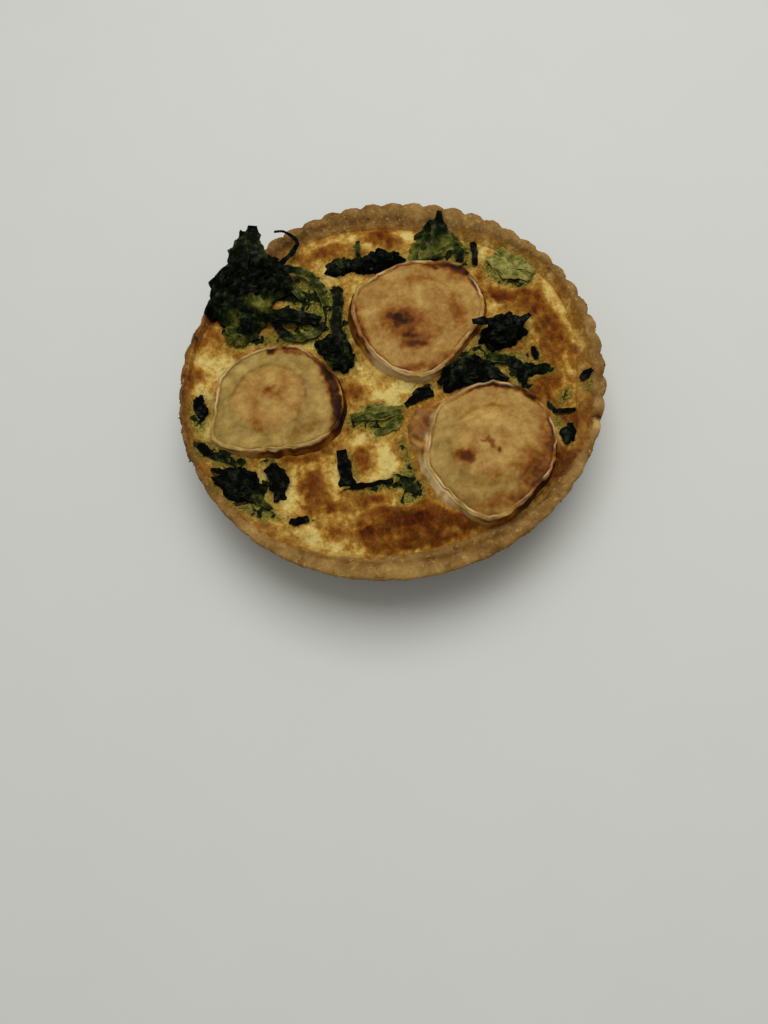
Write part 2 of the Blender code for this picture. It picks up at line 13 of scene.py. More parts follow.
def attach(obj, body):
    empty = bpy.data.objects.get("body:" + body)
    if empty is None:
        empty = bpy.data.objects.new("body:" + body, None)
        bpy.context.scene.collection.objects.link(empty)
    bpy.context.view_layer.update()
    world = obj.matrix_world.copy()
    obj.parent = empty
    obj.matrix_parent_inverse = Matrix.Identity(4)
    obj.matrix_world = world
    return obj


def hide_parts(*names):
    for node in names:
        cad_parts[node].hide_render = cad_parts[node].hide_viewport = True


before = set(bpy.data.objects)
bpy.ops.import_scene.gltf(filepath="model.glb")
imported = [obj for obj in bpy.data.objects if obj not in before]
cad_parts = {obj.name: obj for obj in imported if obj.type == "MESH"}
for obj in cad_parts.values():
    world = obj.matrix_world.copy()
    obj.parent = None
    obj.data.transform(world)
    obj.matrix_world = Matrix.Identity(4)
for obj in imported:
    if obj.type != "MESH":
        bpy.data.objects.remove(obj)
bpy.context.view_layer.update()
scene = bpy.context.scene
MM = 0.001
print("solids loaded:", len(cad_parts))

# %% [markdown]
# ## Small helpers
# Lengths below are millimetres, as in the solids. Colours are picked as sRGB hex values, which is
# how a picture stores them, and one function turns them linear, which is what a shader needs.
# Numpy works on all the points of a mesh at once, so a mesh of 100,000 points stays quick.


# %% Values, colours and nodes
def unit(value):
    return np.clip(value, 0.0, 1.0)


def ease(low, high, value):
    """Smooth step from 0 at low to 1 at high."""
    share = unit((value - low) / (high - low))
    return share * share * (3.0 - 2.0 * share)


def hump(value, middle, width):
    """A soft hump of height 1 round a middle."""
    return np.exp(-((value - middle) / width) ** 2)


def around(angle, stops):
    """Eased values at angles in degrees, from (angle, value) stops in rising order."""
    places = np.array([stops[-1][0] - 360.0, *(s[0] for s in stops), stops[0][0] + 360.0])
    values = np.array([stops[-1][1], *(s[1] for s in stops), stops[0][1]])
    angle = (np.asarray(angle, float) + 180.0) % 360.0 - 180.0
    k = np.clip(np.searchsorted(places, angle), 1, len(places) - 1)
    share = ease(places[k - 1], places[k], angle)
    return values[k - 1] + (values[k] - values[k - 1]) * share


def grain(points, size, seed=0):
    """Smooth noise from -1 to 1 at points in mm, with lumps of about the given size."""
    places = np.asarray(points, float).reshape(-1, 3) / size + 5.17 * seed
    return np.array([noise.noise(place) for place in places.tolist()])


def linear(code):
    """sRGB hex colour as linear red, green, blue and alpha."""
    parts = [int(code[k:k + 2], 16) / 255.0 for k in (0, 2, 4)]
    return (*((c / 12.92 if c < 0.04045 else ((c + 0.055) / 1.055) ** 2.4) for c in parts), 1.0)


def feed(tree, node, inputs):
    """Set a node's inputs to values, to sockets, or to the first output of other nodes."""
    for key, value in inputs.items():
        if isinstance(value, bpy.types.Node):
            value = value.outputs[0]
        if isinstance(value, bpy.types.NodeSocket):
            tree.links.new(value, node.inputs[key])
        else:
            node.inputs[key].default_value = value


def add(tree, kind, inputs=None, stops=None, **settings):
    """Add a node with its settings and inputs; stops are a ramp's (place, hex colour)."""
    made = tree.nodes.new(kind)
    for name, value in settings.items():
        setattr(made, name, value)
    feed(tree, made, inputs or {})
    for k, (place, code) in enumerate(stops or ()):
        points = made.color_ramp.elements
        point = points[k] if k < 2 else points.new(place)
        point.position = place
        point.color = linear(code)
    return made


def per_mm(size):
    """Texture scale that gives features of a size in mm on Object coordinates."""
    return 1.0 / (size * MM)


def new_finish(name):
    """A new material with its node tree, its shader and its place on the object."""
    material = bpy.data.materials.new(name)
    material.use_nodes = True
    tree = material.node_tree
    place = add(tree, "ShaderNodeTexCoord").outputs["Object"]
    return material, tree, tree.nodes["Principled BSDF"], place


def keep(mesh, name, values, kind="FLOAT"):
    """Store values on a mesh's points, for a finish or a tree to read."""
    layer = mesh.attributes.new(name, kind, "POINT")
    field = "value" if kind == "FLOAT" else "vector"
    layer.data.foreach_set(field, np.asarray(values, np.float32).ravel())


print("a 3 mm pattern has scale", round(per_mm(3.0)))

# %% [markdown]
# ## The form of the case and the filling
# These are the driving sizes of the solids; only FLUTE_STOPS differs, as its notches go deeper
# here. The same functions run here on arrays, so the fine meshes lie where the solids do: a
# tapered case 150 mm across with a fluted rim, and set custard that has puffed up in places.


# %% Case and filling
RIM_RADIUS = 75.0
BASE_RADIUS = 62.0
CRUST_HEIGHT = 26.0
WALL_SWELL = 0.8
FOOT_ROUND = 1.5
CREST_WIDTH = 2.4
FLOOR_RADIUS = 58.5
FLOOR_THICKNESS = 4.5
FLUTES = 56
FLUTE_DEPTH = 1.8
LOBE_POWER = 0.8
FLUTE_START = 87.5
FLUTE_DRIFT = 0.33
FLUTE_REAR = 80.0
CRACK_ANGLE = -28.4
EDGE_STOPS = ((-145, 66.5), (-95, 64.6), (-38, 67.5), (-20, 65.0), (20, 69.6), (58, 65.0),
              (105, 68.5), (125, 67.0), (150, 71.4), (178, 71.2))
LEVEL_STOPS = ((-150, 22.4), (-95, 21.6), (-20, 22.8), (60, 21.6), (120, 22.6), (150, 24.3),
               (178, 24.6))
FLUTE_STOPS = ((-150, 0.2), (-80, 0.12), (-45, 0.35), (0, 1.1), (60, 1.4), (130, 1.6), (155, 0.5))
OVERFLOW_STOPS = ((-171, 0.8), (-169, 0.0), (145, 0.0), (154, 0.8))
ROUNDNESS_STOPS = ((-120, 0.0), (-10, 0.6), (30, 1.2), (75, 2.2), (112, 1.4), (150, 0.0))
FILLING_LEVEL = 22.3
PUFFS = ((-14, -53, 9, 1.6), (-2, -54, 8, 1.9), (9, -57, 7, 1.6), (-34, -37, 8, 1.0),
         (-15, -27, 4.5, 1.0), (60, 4, 9, 1.3), (54, 14, 8, 1.1), (51, -18, 6, 1.4),
         (-12, 1, 6, 0.7), (-4, 61, 6, 0.8), (12, 60, 6, 0.9), (-57, 42, 6, 0.9),
         (-57, 27, 7, 0.7), (-2, -7, 6, 0.5), (-9, -28, 7, 0.6), (-39, -49, 8, 0.6),
         (66, -21, 5, 1.0), (52, 26, 8, -0.7), (28, -9, 9, -0.8), (-25, -16, 8, -0.5))


def flute_number(angle):
    """Flutes counted from the one at the rear; they are a little narrower there."""
    rear = math.radians(FLUTE_REAR)
    drift = np.sin(np.radians(angle) - rear) - math.sin(math.radians(FLUTE_START) - rear)
    return FLUTES * (angle - FLUTE_START) / 360.0 + FLUTE_DRIFT * drift


def wall_radius(angle, share):
    spread = RIM_RADIUS + around(angle, ROUNDNESS_STOPS) - BASE_RADIUS
    return BASE_RADIUS + spread * share ** WALL_SWELL


def crest_height(angle):
    turn = np.radians(angle)
    wave = 0.35 * np.sin(3.0 * turn + 1.0) + 0.25 * np.sin(7.0 * turn + 2.0)
    crack = np.exp(-((angle - CRACK_ANGLE + 180.0) % 360.0 - 180.0) ** 2 / 1.6 ** 2)
    return CRUST_HEIGHT + wave - 1.5 * crack


def flute_dip(angle):
    """How far the rim falls back between two flutes."""
    lobe = np.abs(np.cos(np.pi * flute_number(angle))) ** LOBE_POWER
    return FLUTE_DEPTH * (1.0 - lobe) * around(angle, FLUTE_STOPS)


def crest_radius(angle):
    return wall_radius(angle, 1.0) - CREST_WIDTH - 0.4 * flute_dip(angle)


def filling_height(x, y):
    radius = np.hypot(x, y)
    angle = np.degrees(np.arctan2(y, x))
    edge = around(angle, EDGE_STOPS)
    rise = around(angle, LEVEL_STOPS) - FILLING_LEVEL
    height = FILLING_LEVEL + rise * ease(edge - 16.0, edge, radius)
    calm = 1.0 - ease(edge - 6.0, edge, radius)
    for puff_x, puff_y, spread, lift in PUFFS:
        far = (x - puff_x) ** 2 + (y - puff_y) ** 2
        height = height + calm * lift * np.exp(-far / spread ** 2)
    return height


def resting_height(x, y):
    """Height of what carries a topping: the filling, or the crust's rim beyond it."""
    radius = np.hypot(x, y)
    angle = np.degrees(np.arctan2(y, x))
    edge = around(angle, EDGE_STOPS)
    level = around(angle, LEVEL_STOPS)
    slope = unit((radius - edge) / (crest_radius(angle) - edge))
    rim = level + (crest_height(angle) - level) * np.minimum(1.2 * slope, 0.2 + 0.8 * slope)
    return np.where(radius <= edge, filling_height(x, y), rim)


print("filling at the centre:", round(float(filling_height(0.0, 0.0)), 2), "mm")

# %% [markdown]
# ## The form of the cheese slices
# Three slices, each about 45 mm across, none of them round. The outline passes through a radius
# every 20 degrees, the foot spreads where the slice slumped, and the middle is a low dome. The
# last values are only for looks: where the rind stands up as a lip, where it shows as a cream line,
# how brown the side is (below nought it is cream), the dull outer ring, and places that roasted.


# %% Slice sizes
CHEESES = {
    "cheese_left": {
        "centre": (-39.9, 0.9), "top": 27.2, "slope": (0.01, 0.0), "dome": (13.5, 1.3),
        "dome_shift": (-2.5, 1.0),
        "radii": (22.7, 21.5, 21.2, 22.4, 21.4, 22.0, 22.6, 23.0, 21.8, 22.4, 26.4, 22.8, 20.6,
                  19.2, 20.4, 22.9, 24.8, 24.1),
        "spread": ((-160, 0.6), (-120, 1.8), (-70, 2.2), (-30, 0.8), (10, 1.2), (60, 0.8),
                   (120, 0.6)),
        "lip": ((-150, 0.2), (-110, 1.0), (-50, 0.8), (-25, 0.5), (0, 0.5), (60, 0.9), (120, 1.0),
                (175, 0.8)),
        "line": ((-160, 0.1), (-125, 0.5), (-105, 1.0), (-75, 0.5), (-40, 0.3), (-20, 0.0),
                 (20, 0.0), (50, 0.5), (80, 0.7), (110, 1.0), (165, 1.0)),
        "wall": ((-165, -0.2), (-130, 0.0), (-110, 0.4), (-80, 0.5), (-50, 0.3), (-25, 0.8),
                 (15, 0.85), (45, 0.3), (80, 0.5), (100, 0.5), (140, 0.2), (175, 0.4)),
        "baked": 0.08,
        "ring": 0.75,
        "ring_stops": ((-180, 1.0), (0, 0.7), (120, 1.0)),
        "spots": ((-41.6, 4.6, 2.2, 1.4, 0.6, -20), (-39.6, 5.8, 1.1, 0.9, 0.5),
                  (-38, 23.2, 1.5, 1.7, 1.2), (-33, 21, 3.6, 1, 0.9, -28),
                  (-42, 22.6, 2.2, 0.8, 0.7, 14), (-19.6, 2, 1.7, 9, 1.3, 8),
                  (-20, -8, 1.7, 7, 1.3, -6), (-23.6, 13, 1.4, 5, 1.1, 34),
                  (-23, -15.6, 4, 1.1, 0.9, 30)),
        "roast": ((-41.2, 4.2, 3, 2, 0.1, -20), (-38, 3, 6, 4, 0.1),
                  (-33, -13.5, 8, 2.4, 0.16, 15), (-19.6, -4, 2, 9, 0.5, 10),
                  (-20, 6, 2, 4, 0.5, 30), (-21, -13, 2, 5, 0.45, -20), (-37.6, 21, 1.8, 1.6, 0.8),
                  (-31, 18.5, 5, 1.4, 0.35, -25), (-49, 3, 3, 9, 0.06, 10),
                  (-47, -7, 6, 3, 0.1, -30), (-62, -3, 1.5, 3, 0.12)),
    },
    "cheese_rear": {
        "centre": (16.0, 20.3), "top": 27.6, "slope": (-0.03, 0.02), "dome": (14.0, 0.9),
        "dome_shift": (1.0, 1.5),
        "radii": (24.6, 25.2, 25.8, 23.6, 22.8, 22.6, 22.8, 24.8, 23.6, 22.1, 21.6, 22.6, 23.9,
                  25.4, 23.0, 20.6, 20.4, 23.2),
        "spread": ((-150, 3.0), (-110, 1.6), (-60, 0.6), (0, 1.2), (30, 1.6), (90, 0.6),
                   (170, 3.0)),
        "lip": ((-150, 0.6), (-110, 0.8), (-60, 0.35), (0, 0.7), (22, 1.0), (50, 0.7), (80, 0.9),
                (120, 1.0), (170, 0.6)),
        "line": ((-170, 0.3), (-140, 0.7), (-100, 0.8), (-60, 0.3), (-20, 0.7), (5, 1.0),
                 (25, 0.5), (50, 0.3), (75, 0.9), (120, 1.0), (150, 0.4)),
        "wall": ((-170, 0.35), (-140, -0.5), (-100, -0.2), (-60, 0.1), (-10, 0.3), (20, 0.7),
                 (55, 0.8), (85, 0.4), (120, 0.3), (160, 0.45)),
        "baked": 0.1,
        "ring": 0.1,
        "ring_stops": ((-180, 0.4), (60, 0.0), (130, 1.0)),
        "spots": ((9, 19.4, 2.4, 3.2, 1.1, -20), (12, 17.6, 3, 1.6, 0.6, -12),
                  (6.6, 22.4, 1.6, 2, 0.6), (12.5, 11.6, 5.4, 1.6, 0.6, -14),
                  (17.5, 9.4, 3.4, 1.2, 0.5, 14), (38.6, 31, 1.2, 3.4, 0.9, 20),
                  (33.4, 37.2, 4.2, 1.2, 0.9, -35), (28, 19, 3.4, 2.4, 0.35, 20),
                  (4, 16, 2, 4, 0.3, 10)),
        "roast": ((9, 19.6, 5, 4.2, 0.2, -35), (9.5, 19, 7, 5.2, 0.26, -10),
                  (13.5, 8.2, 4.2, 1.3, 0.3, -12), (10.6, 11.5, 3.4, 2.6, 0.2, 40),
                  (12.5, 11, 7.5, 5.5, 0.14), (17.4, 16.8, 2, 3.4, 0.12), (30, 17.5, 2.6, 5, 0.16),
                  (26, 12, 8, 4, 0.08, 20), (29.5, 38, 6, 1.5, 0.5, -18),
                  (36.6, 34, 4, 1.7, 0.6, -42), (39.4, 28, 1.3, 4, 0.5, 10),
                  (34, 33, 4, 3, 0.2, -30), (15, 43, 5, 1.6, 0.3), (12, -1, 8, 1.6, 0.25, -12),
                  (-4.6, 20, 1.2, 13, 0.3, 4), (22, 1.5, 8, 2, 0.14, 25)),
    },
    "cheese_right": {
        "centre": (26.7, -36.8), "top": 28.0, "slope": (0.02, -0.01), "dome": (14.5, 1.6),
        "dome_shift": (1.0, 0.0),
        "radii": (21.9, 23.2, 23.7, 24.2, 24.2, 23.0, 23.2, 21.8, 21.0, 22.2, 21.8, 22.3, 25.2,
                  26.0, 22.8, 20.8, 21.4, 21.1),
        "spread": ((-165, 3.0), (-146, 3.6), (-128, 1.0), (-40, 0.4), (60, 0.6), (112, 1.4),
                   (141, 9.5), (160, 7.0), (177, 3.8)),
        "lip": ((-165, 1.0), (-120, 0.9), (-60, 0.6), (0, 0.8), (40, 1.2), (90, 1.1), (120, 0.4),
                (150, 0.9)),
        "line": ((-165, 1.0), (-125, 0.9), (-90, 0.5), (-50, 0.9), (-10, 0.6), (20, 1.0),
                 (60, 1.0), (85, 0.6), (110, 0.1), (150, 0.7)),
        "wall": ((-175, -0.8), (-150, -1.0), (-130, -0.4), (-90, 0.4), (-50, 0.6), (-20, 0.6),
                 (20, 0.5), (60, 0.6), (100, 0.5), (125, 0.45), (145, 0.25), (165, 0.12)),
        "baked": 0.08,
        "ring": 0.6,
        "ring_stops": ((-180, 1.0), (-90, 0.8), (-30, 0.2), (100, 0.2), (150, 1.0)),
        "spots": ((16.4, -37.6, 2.1, 2.4, 1, 20), (18.8, -39.8, 2, 2.6, 1.1, 30),
                  (26.8, -36.4, 1.5, 2.5, 1, 10), (24.4, -35.2, 1.1, 1.3, 0.8),
                  (28.8, -39.6, 0.9, 0.9, 0.8)),
        "roast": ((17.6, -38.8, 4.4, 3.6, 0.14, 20), (28.8, -40, 0.9, 0.9, 0.2),
                  (21, -43.5, 1.2, 1.2, 0.14), (30, -14.2, 6, 1.1, 0.5, 5),
                  (38, -16.6, 6, 1.5, 0.65, -25), (45, -22.4, 4.5, 1.5, 0.6, -52),
                  (48.2, -36, 0.9, 9, 0.3), (39, -50, 10, 5.5, 0.34, 45),
                  (24, -57, 10, 3.4, 0.26, -5), (46, -38, 3, 9, 0.25), (15, -50, 4, 5, 0.1, -40),
                  (27, -47, 8, 3, 0.06), (14, -27, 3, 8, 0.06, -30), (31, -28, 9, 5, -0.06)),
    },
}
RADIUS_STEP = 20


# %% Outline, foot and top of a slice
def top_radius_at(cheese, angle):
    """Radius of the slice's top at angles, through the radii given every 20 degrees."""
    radii = np.array(cheese["radii"])
    place = (np.asarray(angle, float) % 360.0) / RADIUS_STEP
    index = place.astype(int)
    share = place - index
    before, start, end, after = (radii[(index + k) % len(radii)] for k in (-1, 0, 1, 2))
    bow = start - before - (end - start)
    swing = end - start - (after - end)
    bulge = 0.25 * share * (1 - share) * (bow * (1 - share) + swing * share)
    return start + (end - start) * share + bulge


def foot_radius_at(cheese, angle):
    return top_radius_at(cheese, angle) + around(angle, cheese["spread"])


def cheese_top(cheese, x, y):
    """Height of the slice's face, without its lip."""
    centre_x, centre_y = cheese["centre"]
    slope_x, slope_y = cheese["slope"]
    dome_radius, dome_rise = cheese["dome"]
    shift_x, shift_y = cheese["dome_shift"]
    apart = np.hypot(x - centre_x - shift_x, y - centre_y - shift_y)
    height = cheese["top"] + slope_x * (x - centre_x) + slope_y * (y - centre_y)
    return height + dome_rise * (1.0 - ease(dome_radius - 5.0, dome_radius + 1.5, apart)), apart


# %% [markdown]
# ## Round meshes
# The case, the custard and the cheese slices are all closed round forms. Each is made from an
# array of rings that runs from the middle of the underside, out, up and back over the top. Every
# ring has the same number of points, so neighbouring rings join in four-sided faces and only the
# two poles need triangles. Values that steer a finish are kept on the points as attributes.


# %% Rings to a closed mesh
def ring_mesh(name, rings):
    """Closed mesh from rings (rings x columns x 3, mm); the first and last close at a pole."""
    count, columns = rings.shape[:2]
    poles = np.array([rings[0].mean(0), rings[-1].mean(0)])
    points = np.concatenate([poles[:1], rings.reshape(-1, 3), poles[1:]]) * MM
    here = np.arange(columns)
    after = (here + 1) % columns
    faces = [(0, int(b) + 1, int(a) + 1) for a, b in zip(here, after)]
    for row in range(count - 1):
        low = 1 + row * columns
        high = low + columns
        quads = np.stack([low + here, low + after, high + after, high + here], 1)
        faces.extend(map(tuple, quads.tolist()))
    top = 1 + (count - 1) * columns
    faces.extend((top + int(a), top + int(b), len(points) - 1) for a, b in zip(here, after))
    mesh = bpy.data.meshes.new(name)
    mesh.from_pydata(points.tolist(), [], faces)
    return mesh


def paint(mesh, name, rings):
    """Store one value for each point of a round mesh; a pole takes its ring's mean."""
    keep(mesh, name, np.concatenate([[rings[0].mean()], rings.reshape(-1), [rings[-1].mean()]]))


def ovals(x, y, table):
    """Sum of soft ovals (x, y, half length, half width, strength, turn in degrees if any)."""
    total = np.zeros_like(x)
    for oval_x, oval_y, length, width, strength, *turn in table:
        axis = math.radians(sum(turn))
        c = math.cos(axis)
        s = math.sin(axis)
        along = ((x - oval_x) * c + (y - oval_y) * s) / length
        across = ((y - oval_y) * c - (x - oval_x) * s) / width
        total += strength * np.exp(-(along ** 2 + across ** 2) ** 1.4)
    return total


def place_object(name, mesh, material):
    """An object in the scene from a finished mesh."""
    mesh.materials.clear()
    mesh.materials.append(material)
    mesh.shade_smooth()
    piece = bpy.data.objects.new(name, mesh)
    scene.collection.objects.link(piece)
    print(f"{name}: {len(mesh.polygons)} faces")
    return piece


# %% [markdown]
# ## Geometry Nodes in a script
# The flutes, the leaves and the crumbs each follow a rule, so each gets a tree of its own. The
# tree has named inputs for its sizes. The result is turned into a plain mesh straight away, and
# the modifier goes with the object that carried it.


# %% A tree and its use
def new_tree(name, sizes):
    """Geometry tree with an input for each named size; returns it and its input sockets."""
    tree = bpy.data.node_groups.new(name, "GeometryNodeTree")
    tree.interface.new_socket("Geometry", in_out="INPUT", socket_type="NodeSocketGeometry")
    for label, value in sizes.items():
        socket = tree.interface.new_socket(label, in_out="INPUT", socket_type="NodeSocketFloat")
        socket.default_value = value
    tree.interface.new_socket("Material", in_out="INPUT", socket_type="NodeSocketMaterial")
    tree.interface.new_socket("Geometry", in_out="OUTPUT", socket_type="NodeSocketGeometry")
    return tree, tree.nodes.new("NodeGroupInput").outputs


def end_tree(tree, geometry, material):
    """The last nodes of every tree: real meshes, with their material."""
    real = add(tree, "GeometryNodeRealizeInstances", {0: geometry})
    dressed = add(tree, "GeometryNodeSetMaterial", {0: real, "Material": material})
    add(tree, "NodeGroupOutput", {0: dressed})


def grow(name, mesh, tree, material, thickness=0.0):
    """Plain mesh that a tree makes from a mesh, with a wall thickness if one is given."""
    holder = bpy.data.objects.new(name + "_holder", mesh)
    scene.collection.objects.link(holder)
    modifier = holder.modifiers.new("tree", "NODES")
    modifier.node_group = tree
    for item in tree.interface.items_tree:
        if item.in_out == "INPUT" and item.name == "Material":
            modifier[item.identifier] = material
    if thickness:
        wall = holder.modifiers.new("wall", "SOLIDIFY")
        wall.thickness = thickness * MM
        wall.offset = 0.0
    bpy.context.view_layer.update()
    finished = holder.evaluated_get(bpy.context.evaluated_depsgraph_get())
    grown = bpy.data.meshes.new_from_object(finished)
    bpy.data.objects.remove(holder, do_unlink=True)
    return grown


# %% [markdown]
# ## Finish: baked shortcrust pastry
# Butter pastry bakes unevenly: gold where it is thin or proud, tan where flour shows, dark at the
# side that stood nearest the heat. The attribute "toast_and_shade" says how far each place has
# baked, and also holds painted shade in the hollows between flutes, along the crest's inner side
# and in a crack in the rim. Noise at 6 mm and 1.3 mm breaks it up; noise at 1.9 mm adds pale
# flakes and scorched specks. Custard ran up the inner slope and baked on, so "egg" mixes in the
# custard's own colours, with a frayed edge. The surface is matt and grainy.


# %% Colours of baked custard, which the pastry's slope needs as well
def custard_colours(tree, place):
    """Colour, fine relief and coarse noise of custard, from bake_and_shade, green and leaf."""
    fray = add(tree, "ShaderNodeTexNoise", {"Vector": place, "Scale": per_mm(2.2), "Detail": 6.0,
                                            "Roughness": 0.7})
    blister = add(tree, "ShaderNodeTexNoise", {"Vector": place, "Scale": per_mm(0.8),
                                               "Detail": 3.0})
    bake_and_shade, green, leaf = (add(tree, "ShaderNodeAttribute", attribute_name=label).outputs["Fac"]
                         for label in ("bake_and_shade", "green", "leaf"))
    coarse = add(tree, "ShaderNodeMath", {0: fray, 1: 0.7, 2: -0.44}, operation="MULTIPLY_ADD")
    fine = add(tree, "ShaderNodeMath", {0: blister, 1: 0.2, 2: coarse}, operation="MULTIPLY_ADD")
    level = add(tree, "ShaderNodeMath", {0: fine, 1: bake_and_shade}, operation="ADD")
    colour = add(tree, "ShaderNodeValToRGB", {0: level},
                 stops=((0.0, "D4BC70"), (1.0, "260C03"), (0.16, "BC9546"), (0.32, "986824"),
                        (0.48, "7C4A14"), (0.6, "69340D"), (0.76, "491B06")))
    for amount, light, dark, low, high, most in ((green, "827A32", "3C3E10", 0.0, 0.8, 0.92),
                                                 (leaf, "22280C", "050702", 0.42, 0.56, 1.0)):
        frayed = add(tree, "ShaderNodeMath", {0: fray, 1: 1.1, 2: -0.55}, operation="MULTIPLY_ADD")
        total = add(tree, "ShaderNodeMath", {0: frayed, 1: amount}, operation="ADD")
        share = add(tree, "ShaderNodeMapRange", {0: total, 1: low, 2: high, 4: most})
        shade = add(tree, "ShaderNodeValToRGB", {0: blister}, stops=((0.38, light), (0.62, dark)))
        colour = add(tree, "ShaderNodeMix", {0: share, 6: colour, 7: shade},
                     data_type="RGBA").outputs[2]
    return colour, fine, fray


# %% Shortcrust pastry
def shortcrust_pastry():
    material, tree, shader, place = new_finish("baked_shortcrust_pastry")
    blotch, crumb, flake = (
        add(tree, "ShaderNodeTexNoise", {"Vector": place, "Scale": per_mm(size), "Detail": detail,
                                         "Roughness": rough})
        for size, detail, rough in ((6.0, 5.0, 0.6), (1.3, 6.0, 0.75), (1.9, 5.0, 0.8)))
    toast_and_shade, egg = (add(tree, "ShaderNodeAttribute", attribute_name=label).outputs["Fac"]
                  for label in ("toast_and_shade", "egg"))
    coarse = add(tree, "ShaderNodeMath", {0: blotch, 1: 0.8, 2: -0.65}, operation="MULTIPLY_ADD")
    fine = add(tree, "ShaderNodeMath", {0: crumb, 1: 0.5, 2: coarse}, operation="MULTIPLY_ADD")
    level = add(tree, "ShaderNodeMath", {0: fine, 1: toast_and_shade}, operation="ADD")
    colour = add(tree, "ShaderNodeValToRGB", {0: level},
                 stops=((0.0, "BC9A5A"), (1.0, "2A1508"), (0.25, "9E7A42"), (0.5, "7E5A2A"),
                        (0.75, "553513")))
    for low, high, most, code in ((0.56, 0.64, 0.55, "C4A566"), (0.42, 0.34, 0.5, "5C3A16")):
        share = add(tree, "ShaderNodeMapRange", {0: flake, 1: low, 2: high, 4: most})
        colour = add(tree, "ShaderNodeMix", {0: share, 6: colour, 7: linear(code)},
                     data_type="RGBA").outputs[2]
    egg_colour, egg_relief, fray = custard_colours(tree, place)
    ragged = add(tree, "ShaderNodeMath", {0: fray, 1: 1.2, 2: egg}, operation="MULTIPLY_ADD")
    film = add(tree, "ShaderNodeMapRange", {0: ragged, 1: 1.0, 2: 1.3, 4: 0.9})
    mixed = add(tree, "ShaderNodeMix", {0: film, 6: colour, 7: egg_colour}, data_type="RGBA")
    rough = add(tree, "ShaderNodeMapRange", {0: crumb, 3: 0.6, 4: 0.85})
    scaly = add(tree, "ShaderNodeMath", {0: flake, 1: fine}, operation="ADD")
    grit = add(tree, "ShaderNodeMath", {0: scaly, 1: egg_relief}, operation="ADD")
    relief = add(tree, "ShaderNodeBump", {"Height": grit, "Strength": 0.8, "Distance": 0.8 * MM})
    feed(tree, shader, {"Base Color": mixed.outputs[2], "Roughness": rough, "Normal": relief,
                        "Specular IOR Level": 0.1})
    return material


pastry = shortcrust_pastry()

# %% [markdown]
# ## Where the custard browned
# Ovals in mm say where the top is browned, caught red, cream, stained green or full of shredded
# leaf; one thin oval paints shade into the crack between custard and crust at the front. They
# overlap and are bent by noise, so none shows as an oval. One function turns them into the values
# for the finish and the relief of the skin: wrinkled where it caught, blistered where it browned,
# with painted shade in the grooves. The case asks the same function, because custard ran up its
# inner slope.


# %% Places on the custard (x, y, half length, half width, strength, turn if any)
BROWN_AND_CRACK_SHADE = ((-14, 60, 5, 3.4, 0.9), (-7, 61, 5, 3.6, 0.9), (12.5, 61, 5.5, 4.2, 0.9),
         (16, 57, 4, 3, 0.6), (-20, 61, 3, 2, 0.5), (2, 58, 3, 2, 0.4), (-56, 45, 6, 3, 1, 10),
         (-53, 41, 4, 3, 0.8), (-61, 38, 6, 6, 0.5), (-62, 32, 5, 5, 0.3), (-67, 18, 3, 6, 0.5),
         (-72, 16, 2.5, 14, 0.6), (-74, -2, 2.5, 16, 0.4), (-63, 21, 4, 3, 0.3),
         (-58, -15, 5, 2, 0.7, -20), (-13, -2, 5, 4, 0.6), (-16, 4, 3, 6, 0.3),
         (47, 24, 5, 3.5, 0.8, -20), (43, 32, 1.6, 5, 0.5, -20), (56, 16, 6, 7, 0.6),
         (61, 8, 5, 9, 0.7), (59, -2, 6, 6, 0.7), (53, 20, 5, 3, 0.4), (47, 1, 5, 3.5, 0.6),
         (57, 12, 3, 2, 0.5), (60, 4, 3, 3, 0.4), (56, 5, 2, 3, 0.4), (50, -18, 7, 4, 0.8, -10),
         (55, -16, 4, 3, 0.6), (57, -8, 4, 5, 0.5), (64, -5, 3, 6, 0.6),
         (48, -21, 5, 2.6, 0.6, -30), (54, -25, 3, 3, 0.5), (49.5, -46, 3, 7, 0.9, 20),
         (53, -47, 4, 3, 0.8), (56, -33, 4, 2.5, 0.7), (47, -51, 4, 2.4, 0.8, 30),
         (60, -41, 3, 3, 0.4), (-36, -34, 4.5, 7, 0.6), (-31, -37, 4, 6, 0.4),
         (-35, -40, 5, 3, 0.55), (-27, -43, 5, 3, 0.6), (-19, -42.5, 5, 3, 0.55),
         (-14, -44, 6, 2.6, 0.6), (-36, -23, 6, 2.2, 0.6), (-25, -21, 5, 2, 0.6),
         (-44, -21.5, 6, 1.6, 0.6), (-15.5, -28, 3.4, 5, 0.85), (-25, -50, 6, 4, 0.5, -10),
         (-22, -55, 5, 3, 0.5), (-30, -52, 4, 2, 0.3), (47, -47, 3, 5, 0.9, 20),
         (58, -33, 5, 4, 0.5), (52, -29, 3, 5, 0.4), (46, 23, 6, 4, 0.5, -20), (59, 20, 4, 4, 0.3),
         # Painted shade: this long thin oval darkens the crack between custard and crust at the
         # front.
         (0, -63, 18, 1.6, 0.6), (-33, -28, 5, 3, 0.3))
RED = ((-14, -50, 6, 3, 0.9, -10), (-4, -56, 12, 4.6, 0.5), (-8, -51.5, 5, 2.4, 0.9, 10),
       (-17, -54.5, 4, 2.2, 0.8), (-4, -55, 5, 4, 0.6), (-1, -50.5, 4, 3, 0.6),
       (-15, -60, 6, 2, 0.8, -5), (-6, -60.5, 4.5, 2.2, 1.1), (1, -61, 3, 3, 0.7),
       (3, -55, 4, 4, 0.7), (8, -57.5, 5, 3, 0.8, -20), (13, -60, 5, 1.8, 0.7, -15),
       (-20, -57, 3, 2, 0.5))
